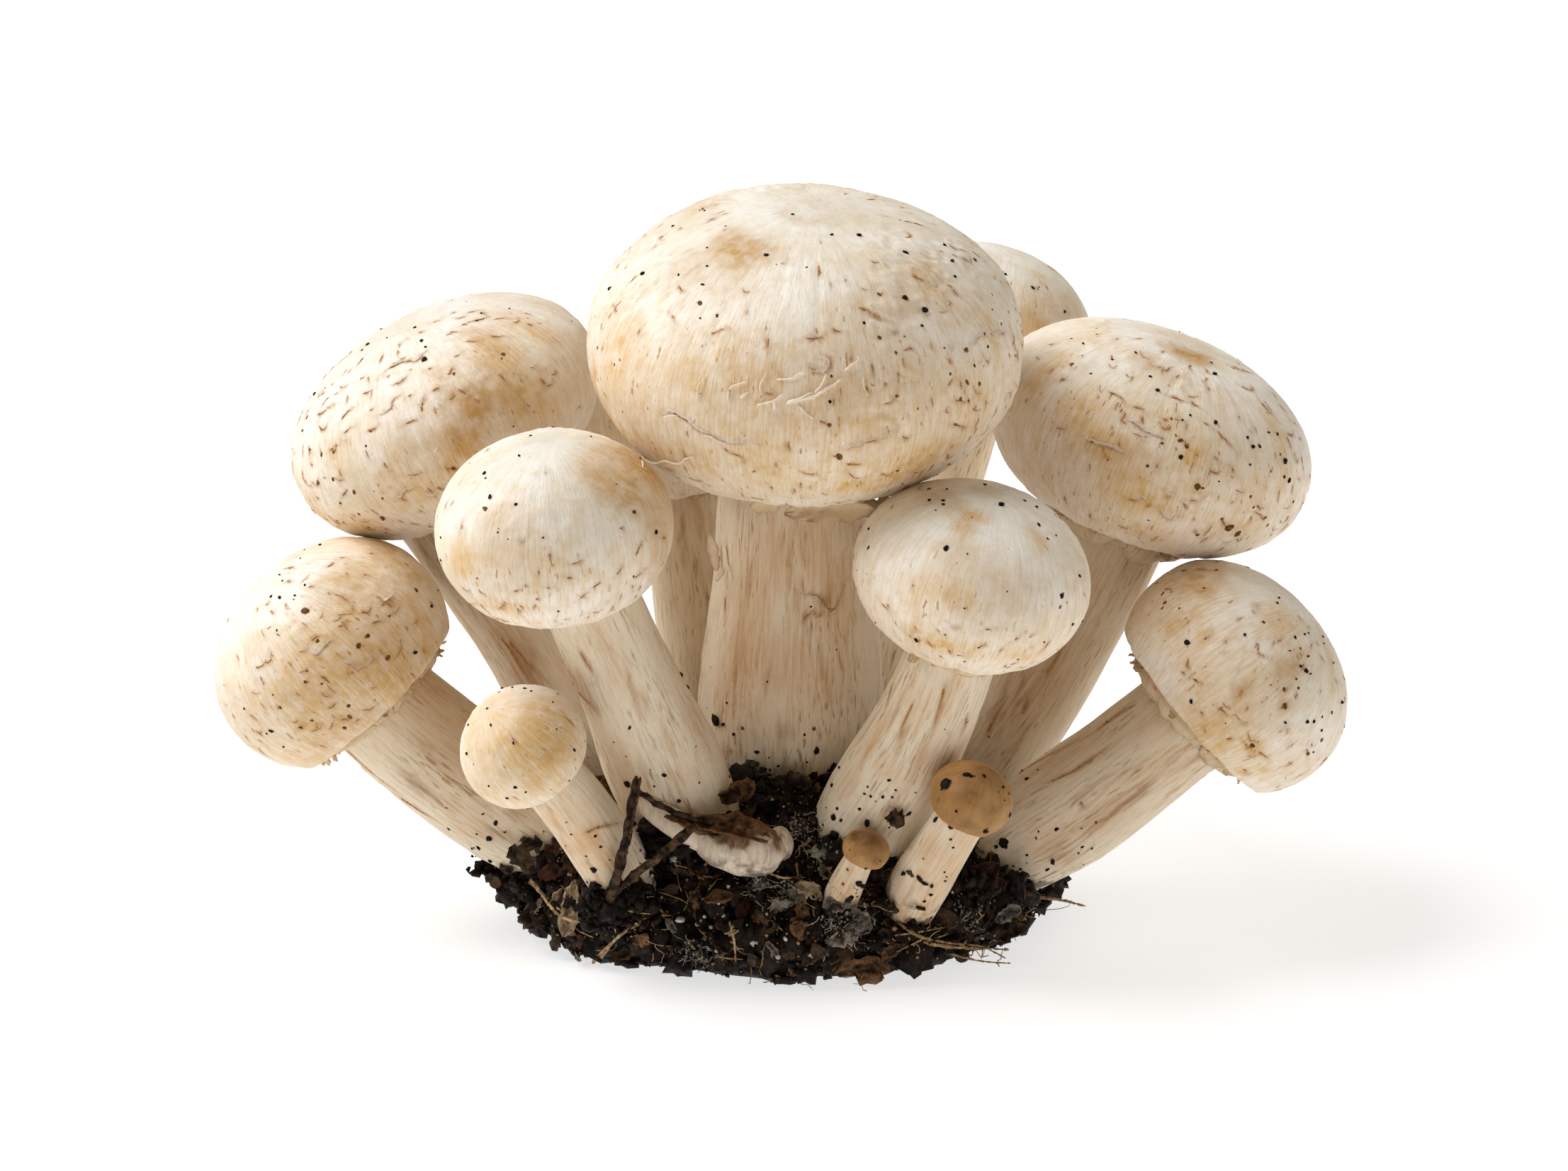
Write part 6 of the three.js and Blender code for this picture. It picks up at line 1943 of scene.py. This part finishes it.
def leaf_part(place, along, facing, long, wide, random):
    """A thin curled scrap of leaf or bark, folded along the middle and ragged at its rim."""
    along = unit(along)
    up = unit(facing - along * (facing @ along))
    side = np.cross(up, along)
    u, v = np.meshgrid(np.linspace(-1, 1, LEAF_ROWS), np.linspace(-1, 1, LEAF_COLUMNS), indexing="ij")
    ragged = 1 + 0.16 * random.standard_normal((LEAF_ROWS, 1)) + 0.08 * random.standard_normal(u.shape)
    taper = np.sqrt(np.maximum(1 - np.abs(u) ** random.uniform(1.6, 3.5), 0.02))
    x, y = u * long / 2 * (1 + 0.03 * random.standard_normal(u.shape)), v * wide / 2 * taper * ragged
    fold = random.uniform(-0.5, 0.7) * np.abs(y) + random.uniform(-0.1, 0.16) * long * u**2
    fold = fold + 0.05 * wide * random.standard_normal(u.shape) + random.uniform(-0.3, 0.3) * y * u
    top = place + x[..., None] * along + y[..., None] * side + fold[..., None] * up
    ring = np.concatenate([top, (top - up * LEAF_THICK)[:, ::-1]], 1)
    rim = np.concatenate([np.abs(v) ** 4, 0.4 + 0 * v], 1)
    spots, faces, _ = sheet_part(ring)
    first, count = np.arange(2 * LEAF_COLUMNS), len(spots)
    last = first + (LEAF_ROWS - 1) * len(first)
    faces = np.concatenate([faces, fan(first, count, True), fan(last, count + 1, False)])
    ends = np.stack([spots[first].mean(0), spots[last].mean(0)])
    return np.concatenate([spots, ends]), faces, dict(rim=np.append(rim.ravel(), [1, 1]))


SOIL_PIECES = ["soil_mound", "soil_clods", "soil_crumbs"]
CLODS, DUST, STRAYS, KNOTS = 260, 2600, 40, 60
# How often each hue turns up among the strewn scraps.
STREWN = dict(dark=0.46, brown=0.22, red=0.08, tan=0.11, grey=0.13)
# Scraps of leaf and bark by hue: what they are, and their dark and light colour.
HUES = dict(
    dark=("dead leaf, black and wet", "#0b0705", "#5a432d"),
    brown=("dead leaf, brown", "#1e120a", "#8a6542"),
    red=("dead leaf, red-brown", "#1f100a", "#5e3622"),
    tan=("dead leaf, tan and dry", "#5c4831", "#c2ab86"),
    grey=("dead leaf, grey with mould", "#1b1713", "#988b7b"),
    cream=("seed husk, pale", "#8d7b5f", "#e3d8c3"),
)


def hue_material(hue):
    """Dead leaf or husk, curled and torn: rough and dull, paler along its rim."""
    return once(*HUES[hue], 0.55, 1.5, 0.12)


def fibre_material(own):
    """Fine root fibre, washed and dried: straw coloured and stringy."""
    return earthy_material("root fibre, dry", linear("#8a6c46"), own.straw, 0.7, 1.5, 0.05)


def twig_material(own):
    """Twig bark, dark and split: brown ridges over nearly black cracks."""
    return earthy_material("twig bark, dark and split", own.peat, own.bark, 0.7, 1.2, 0.15)


def mycelium_material():
    """Mycelium, grown like cotton wool: pale grey, soft and without gloss."""
    return once("mycelium, cottony", "#6f675d", "#c9c2b6", 0.9, 1, 0.02)


def scrap_parts(points, normals, tree, random):
    """Scraps of leaf and bark by hue: the ones with a place of their own, and ones strewn all over."""
    parts = {hue: [] for hue in HUES}
    for place, long, wide, turn, hue in LEAVES:
        turn = math.radians(turn)
        along = np.array([math.cos(turn), 0.25 * random.standard_normal(), math.sin(turn)])
        tipped = FACING + 0.35 * random.standard_normal(3)
        spot = laid(tree, place, 0.25 + 0.05 * long)
        parts[hue].append(leaf_part(spot, along, tipped, long, wide, random))
    for place, normal in zip(*soil_places(points, normals, by_speed(380), random, 1)):
        hue = random.choice(list(STREWN), p=list(STREWN.values()))
        long = random.uniform(1.2, 4.4)
        along = np.cross(normal, random.standard_normal(3)) + 0.3 * random.standard_normal(3)
        tipped = normal + 0.5 * random.standard_normal(3)
        place = place + normal * random.uniform(0.2, 0.9)
        parts[hue].append(leaf_part(place, along, tipped, long, long * random.uniform(0.3, 0.7), random))
    return parts


def root_parts(points, normals, tree, random):
    """Thin roots, each with a few hairs, and root fibres strewn all over."""
    parts = []
    for radius, path in ROOTS:
        path = laid_curve(tree, path, radius)
        parts.append(tube_part(path, radius * 0.8, 7, 0.4, 5, 0.5))
        for _ in range(3):
            start = path[random.integers(2, len(path) - 2)]
            hair = wandering(start, FACING, random.uniform(1.5, 5), random)
            parts.append(tube_part(hair, 0.09, 4, taper=0.6))
    for place, normal in zip(*soil_places(points, normals, by_speed(420), random, 0.6)):
        path = wandering(place + normal * 0.5, normal, random.uniform(2, 8), random)
        parts.append(tube_part(path, random.uniform(0.07, 0.13), 4, taper=0.6))
    return parts


def mycelium_parts(tree, random):
    """Threads of mycelium with small knots between them."""
    parts = []
    for middle, reach in MYCELIUM:
        for _ in range(by_speed(45)):
            place = np.array(middle) + random.normal(0, 0.5, 3) * reach
            start = laid(tree, place, 0.1)
            path = wandering(start, FACING, random.uniform(1, 3), random)
            parts.append(tube_part(path, random.uniform(0.04, 0.08), 4))
        knots = [np.array(middle) + random.normal(0, 0.45, 3) * reach for _ in range(KNOTS)]
        knots = [laid(tree, place, 0.05) for place in knots]
        ups = random.standard_normal((KNOTS, 3))
        parts += lump_parts(knots, ups, random.uniform(0.2, 0.5, KNOTS), random, 1)
    return parts


class CLUSTER_OT_scraps(bpy.types.Operator):
    """Strew scraps of leaf, roots and mycelium over the soil"""

    bl_idname = "cluster.scraps"
    bl_label = "Scraps and roots"

    def execute(self, context):
        own = context.scene.cluster_soil
        random = np.random.default_rng(SEEDS["scraps"])
        ground = soil_skin(1.2)
        tree = solid_tree(SOIL_PIECES + [mushroom["name"] + "_stem_skin" for mushroom in MUSHROOMS])
        for hue, made in scrap_parts(*ground, tree, random).items():
            piece("leaf_scraps_" + hue, made, hue_material(hue))
        piece("soil_roots", root_parts(*ground, tree, random), fibre_material(own))
        sticks = [
            tube_part(laid_curve(tree, path, radius), radius, 8, 0.5, 6, 0.8) for radius, path in STICKS
        ]
        piece("soil_sticks", sticks, twig_material(own))
        piece("soil_mycelium", mycelium_parts(tree, random), mycelium_material())
        return {"FINISHED"}


STRANDS = {
    "upright_twig": (
        0.7, [(-20.1, -33.4, 32.6), (-21.4, -33.4, 25.1), (-23.4, -31.8, 16.4), (-24.2, -27, 11)]
    ),
    "leaning_twig": (0.6, [(-12.4, -33.4, 25.4), (-17, -33, 21), (-21, -31.4, 17.2), (-23.4, -29.6, 14)]),
    "bark_strip": (0.5, [(-20.8, -30.6, 30.2), (-17.6, -30, 27.6), (-13.4, -29.6, 25.4), (-9, -28.8, 24.2)]),
    "left_root": (0.5, [(-35.6, -15.4, 11.2), (-31, -23.6, 8.6), (-24.8, -27.4, 8.8)]),
    "front_root": (0.5, [(-26, -22, 1.4), (-23, -26, 6.6), (-19.4, -28, 9.6)]),
    "right_root": (0.5, [(33, -13, 8), (38.6, -14, 7.6), (42.6, -15, 7)]),
    "low_root": (0.6, [(15, -28, 8.6), (21, -26.6, 5.6), (31.6, -18, 1.6)]),
}
# Half sizes, place, turn, hue and how many layers each scrap is split into.
FLAKES = {
    "wood_chip": ((3, 1, 1.4), (-6.8, -22.2, 26.2), (0, -38, -20), "brown", 3),
    "left_bark_flake": ((2.6, 1, 1.4), (-36.6, -16.4, 15), (0, 30, -30), "dark", 1),
    "middle_bark_flake": ((2.6, 0.8, 1.8), (-25, -7, 21.6), (0, 48, 0), "brown", 1),
    "right_bark_flake": ((2.4, 1, 2.4), (27, -19.4, 12.4), (20, 10, 30), "red", 2),
    "dry_leaf_left": ((1.2, 0.7, 3.2), (-29.6, -21.6, 10.4), (10, 14, -40), "tan", 1),
    "dry_leaf_middle": ((1.8, 0.7, 1.4), (3.4, -28, 14.4), (20, 20, 0), "tan", 1),
    "dry_leaf_front": ((4.6, 0.9, 2), (11, -27.6, 2.8), (24, 0, 6), "brown", 2),
    "seed_husk": ((1.3, 0.7, 1), (15, -30.2, 25.4), (0, 30, 0), "dark", 2),
}
# The buried pin and its second lobe; the two scraps that cover it, each with its place, the way it
# runs, the way it faces, and its length and width; and the path of its pale stalk.
PIN = [((6.4, 4.2, 4), (-5.8, -26.6, 20), (0, 8, 0)), ((1.8, 1.8, 2.6), (-0.6, -25, 19.8), (0, 0, 0))]
PIN_COVER = [
    (((-7.4, -29.4, 23.6), (1, 0, -0.2), (0, -0.45, 0.9)), (11.5, 4)),
    (((-12.4, -30.1, 24.6), (1, 0.1, -0.45), (0, -0.4, 0.9)), (8, 1.8)),
]
PIN_STALK = [(-20, -25.4, 27), (-17.4, -26.4, 25), (-13.4, -26.4, 22.4), (-9, -26, 20.6)]


def turned_by(angles):
    """The turn that the solids give to a flake: about X, then Y, then Z of its own frame."""
    x, y, z = (math.radians(a) for a in angles)
    return np.array(Matrix.Rotation(x, 3, "X") @ Matrix.Rotation(y, 3, "Y") @ Matrix.Rotation(z, 3, "Z"))


def bark_material():
    """Twig bark, split and weathered: grey-brown plates over dark cracks."""
    return once("twig bark, split and weathered", "#140d09", "#6a4f38", 0.7, 1.3, 0.25)


def root_material(own):
    """Thick root, dry and pale: straw coloured, with fine cross wrinkles."""
    return earthy_material("root, dry and pale", linear("#7b5f3e"), own.straw, 0.7, 1.6, 0.08)


def strand_parts(root, number, radius, points, random):
    """A root, or a twig with four strips of bark that have come away from it."""
    path = curve_through(points)
    parts = [tube_part(path, radius * (0.5 if root else 1), 14, 0.5, 900 + number, 0.45 if root else 0.8)]
    for k in range(0 if root else 4):
        strip = path[k * len(path) // 6 : (k * 2 + 5) * len(path) // 12 + 3]
        strip = strip + random.normal(0, 0.45 * radius, 3)
        parts.append(tube_part(strip, 0.35 * radius, 6, 0.5, 950 + number + k, 0.6))
    return parts


def flake_parts(half, at, angles, layers, random):
    """A flake of bark, wood or leaf, split into layers that each end a little shorter."""
    axes = turned_by(angles)
    order = (0, 2) if half[0] >= half[2] else (2, 0)
    parts = []
    for layer in range(layers):
        place = np.array(at) - axes[:, 1] * (0.45 * layer - 0.2 * layers) + random.normal(0, 0.3, 3)
        long, wide = (2 * half[k] * (1 - 0.12 * layer) for k in order)
        parts.append(leaf_part(place, axes[:, order[0]], -axes[:, 1], long, wide, random))
    return parts


def pin_parts():
    """The two lobes of the buried pin, stained dark from above, and its pale stalk."""
    ball, faces = sphere_points(6)
    parts = []
    for number, (half, at, angles) in enumerate(PIN):
        grain = ball * half
        shape = ball * np.array(half) * (1 + 0.09 * layered_noise(grain, 4, 990 + number, 3))[:, None]
        shape = shape @ turned_by(angles).T + np.array(at, float)
        stained = ball[:, 2] + 0.45 * layered_noise(grain, 2.4, 995 + number, 3) - 0.15 * ball[:, 0]
        dark = smoothstep(0.1, 0.75, stained - 0.8 * number)
        low = smoothstep(0.1, -0.8, ball[:, 2])
        values = dict(
            grain=grain, stain=0.75 * dark, tan=0.2 + 0 * dark, dirt=0.8 * low,
            bruise=smoothstep(0.5, 0.9, dark),
        )
        parts.append((shape, faces, values))
    spots, faces, _ = tube_part(curve_through(PIN_STALK), 1.6, 40, 0.05, 998, 1.5)
    parts.append((spots, faces, dict(grain=spots, tan=np.full(len(spots), 0.25))))
    return parts


class CLUSTER_OT_litter(bpy.types.Operator):
    """Lay the twigs, roots, bark and dry leaves in the soil, and the pin that is just breaking out"""

    bl_idname = "cluster.litter"
    bl_label = "Litter"

    def execute(self, context):
        own = context.scene.cluster_soil
        random = np.random.default_rng(SEEDS["litter"])
        bark, straw = bark_material(), root_material(own)
        for number, (name, (radius, points)) in enumerate(STRANDS.items()):
            root = name.endswith("root")
            parts = strand_parts(root, number, radius, points, random)
            piece(name + "_wood", parts, straw if root else bark, [name])
        for name, (half, at, angles, hue, layers) in FLAKES.items():
            parts = flake_parts(half, at, angles, layers, random)
            piece(name + "_scrap", parts, hue_material(hue), [name])
        cover = [leaf_part(*map(np.array, turns), *sizes, random) for turns, sizes in PIN_COVER]
        piece("buried_pin_cover", cover, hue_material("brown"), ["buried_pin"])
        skin = stem_material("pin flesh, half buried", linear("#e2d8c6"), linear("#a58663"), own.dry)
        piece("buried_pin_flesh", pin_parts(), skin, ["buried_pin"])
        return {"FINISHED"}


# Where the camera looks, in metres, from how far and how many degrees above the floor.
MIDDLE, AWAY, ABOVE = Vector((0, 0, 0.0496)), 0.8, 17
LENS, FILM = 130.15, 36  # in millimetres
FLOOR_REACH = 4.0


def paper_material(own):
    """Studio paper, matt: an even grey that glows a little, so that it takes only soft shadows."""
    return new_material(
        "studio paper, matt",
        **{"Roughness": 0.9, "Base Color": rgba(own.floor), "Emission Color": (1, 1, 1, 1),
           "Emission Strength": own.glow},
    )[0]


def stage_object(name, data):
    """A new object in the scene that holds the data."""
    made = bpy.data.objects.new(name, data)
    bpy.context.scene.collection.objects.link(made)
    return made


def lay_floor(own):
    """The floor, wide enough to fill the view."""
    mesh = bpy.data.meshes.new("studio_floor")
    corners = [(x * FLOOR_REACH, y * FLOOR_REACH, 0) for x, y in ((-1, -1), (1, -1), (1, 1), (-1, 1))]
    mesh.from_pydata(corners, [], [(0, 1, 2, 3)])
    mesh.materials.append(paper_material(own))
    stage_object("studio_floor", mesh)


def surround(own):
    """A warm white surround."""
    world = bpy.data.worlds.new("white surround")
    world.use_nodes = True
    inputs = world.node_tree.nodes["Background"].inputs
    inputs[0].default_value = (1, 0.91, 0.78, 1)
    inputs[1].default_value = own.sky
    return world


def hang_light(name, spot, spread, power, tint):
    """A sun lamp with soft edges that shines from a spot to the middle."""
    lamp = bpy.data.lights.new(name, "SUN")
    lamp.angle = math.radians(spread)
    lamp.energy = power
    lamp.color = tint
    holder = stage_object(name, lamp)
    holder.location = spot
    holder.rotation_euler = (-Vector(spot)).to_track_quat("-Z", "Y").to_euler()


def set_up_camera():
    """A long lens that looks down on the cluster from the front."""
    camera = bpy.data.cameras.new("camera")
    camera.lens = LENS
    camera.sensor_width = FILM
    camera.clip_end = 20
    holder = stage_object("camera", camera)
    height = math.radians(ABOVE)
    holder.location = MIDDLE + AWAY * Vector((0, -math.cos(height), math.sin(height)))
    holder.rotation_euler = (MIDDLE - holder.location).to_track_quat("-Z", "Y").to_euler()
    return holder


class CLUSTER_OT_stage(bpy.types.Operator):
    """Set up the pale floor, the soft lights and the camera"""

    bl_idname = "cluster.stage"
    bl_label = "Stage"

    def execute(self, context):
        own, scene = context.scene.cluster_stage, context.scene
        lay_floor(own)
        scene.world = surround(own)
        hang_light("key_light", (-0.46, 0.06, 0.6), 45, own.key, (1, 1, 1))
        hang_light("fill_light", (0.6, 0.1, 0.3), 40, own.fill, (1, 0.88, 0.72))
        scene.camera = set_up_camera()
        scene.view_settings.view_transform = "Standard"
        return {"FINISHED"}


PIECES = (
    CLUSTER_OT_caps, CLUSTER_OT_stems, CLUSTER_OT_veils, CLUSTER_OT_soil, CLUSTER_OT_scraps,
    CLUSTER_OT_litter, CLUSTER_OT_stage,
)
SETTINGS = (
    ("cluster_caps", CapSettings), ("cluster_stems", StemSettings), ("cluster_soil", SoilSettings),
    ("cluster_stage", StageSettings),
)


class CLUSTER_PT_panel(bpy.types.Panel):
    """Lists the pieces of the cluster"""

    bl_label = "Button mushroom cluster"
    bl_idname = "CLUSTER_PT_panel"
    bl_space_type = "VIEW_3D"
    bl_region_type = "UI"
    bl_category = "Mushrooms"

    def draw(self, context):
        for name, group in SETTINGS:
            box = self.layout.box()
            for key in group.__annotations__:
                box.prop(getattr(context.scene, name), key)
        for operator in PIECES:
            self.layout.operator(operator.bl_idname)


def register():
    for name, group in SETTINGS:
        bpy.utils.register_class(group)
        setattr(bpy.types.Scene, name, bpy.props.PointerProperty(type=group))
    for operator in PIECES:
        bpy.utils.register_class(operator)
    bpy.utils.register_class(CLUSTER_PT_panel)


def unregister():
    bpy.utils.unregister_class(CLUSTER_PT_panel)
    for operator in reversed(PIECES):
        bpy.utils.unregister_class(operator)
    for name, group in reversed(SETTINGS):
        delattr(bpy.types.Scene, name)
        bpy.utils.unregister_class(group)


def main():
    register()
    for operator in PIECES:
        group, action = operator.bl_idname.split(".")
        getattr(getattr(bpy.ops, group), action)()


if __name__ == "__main__":
    main()
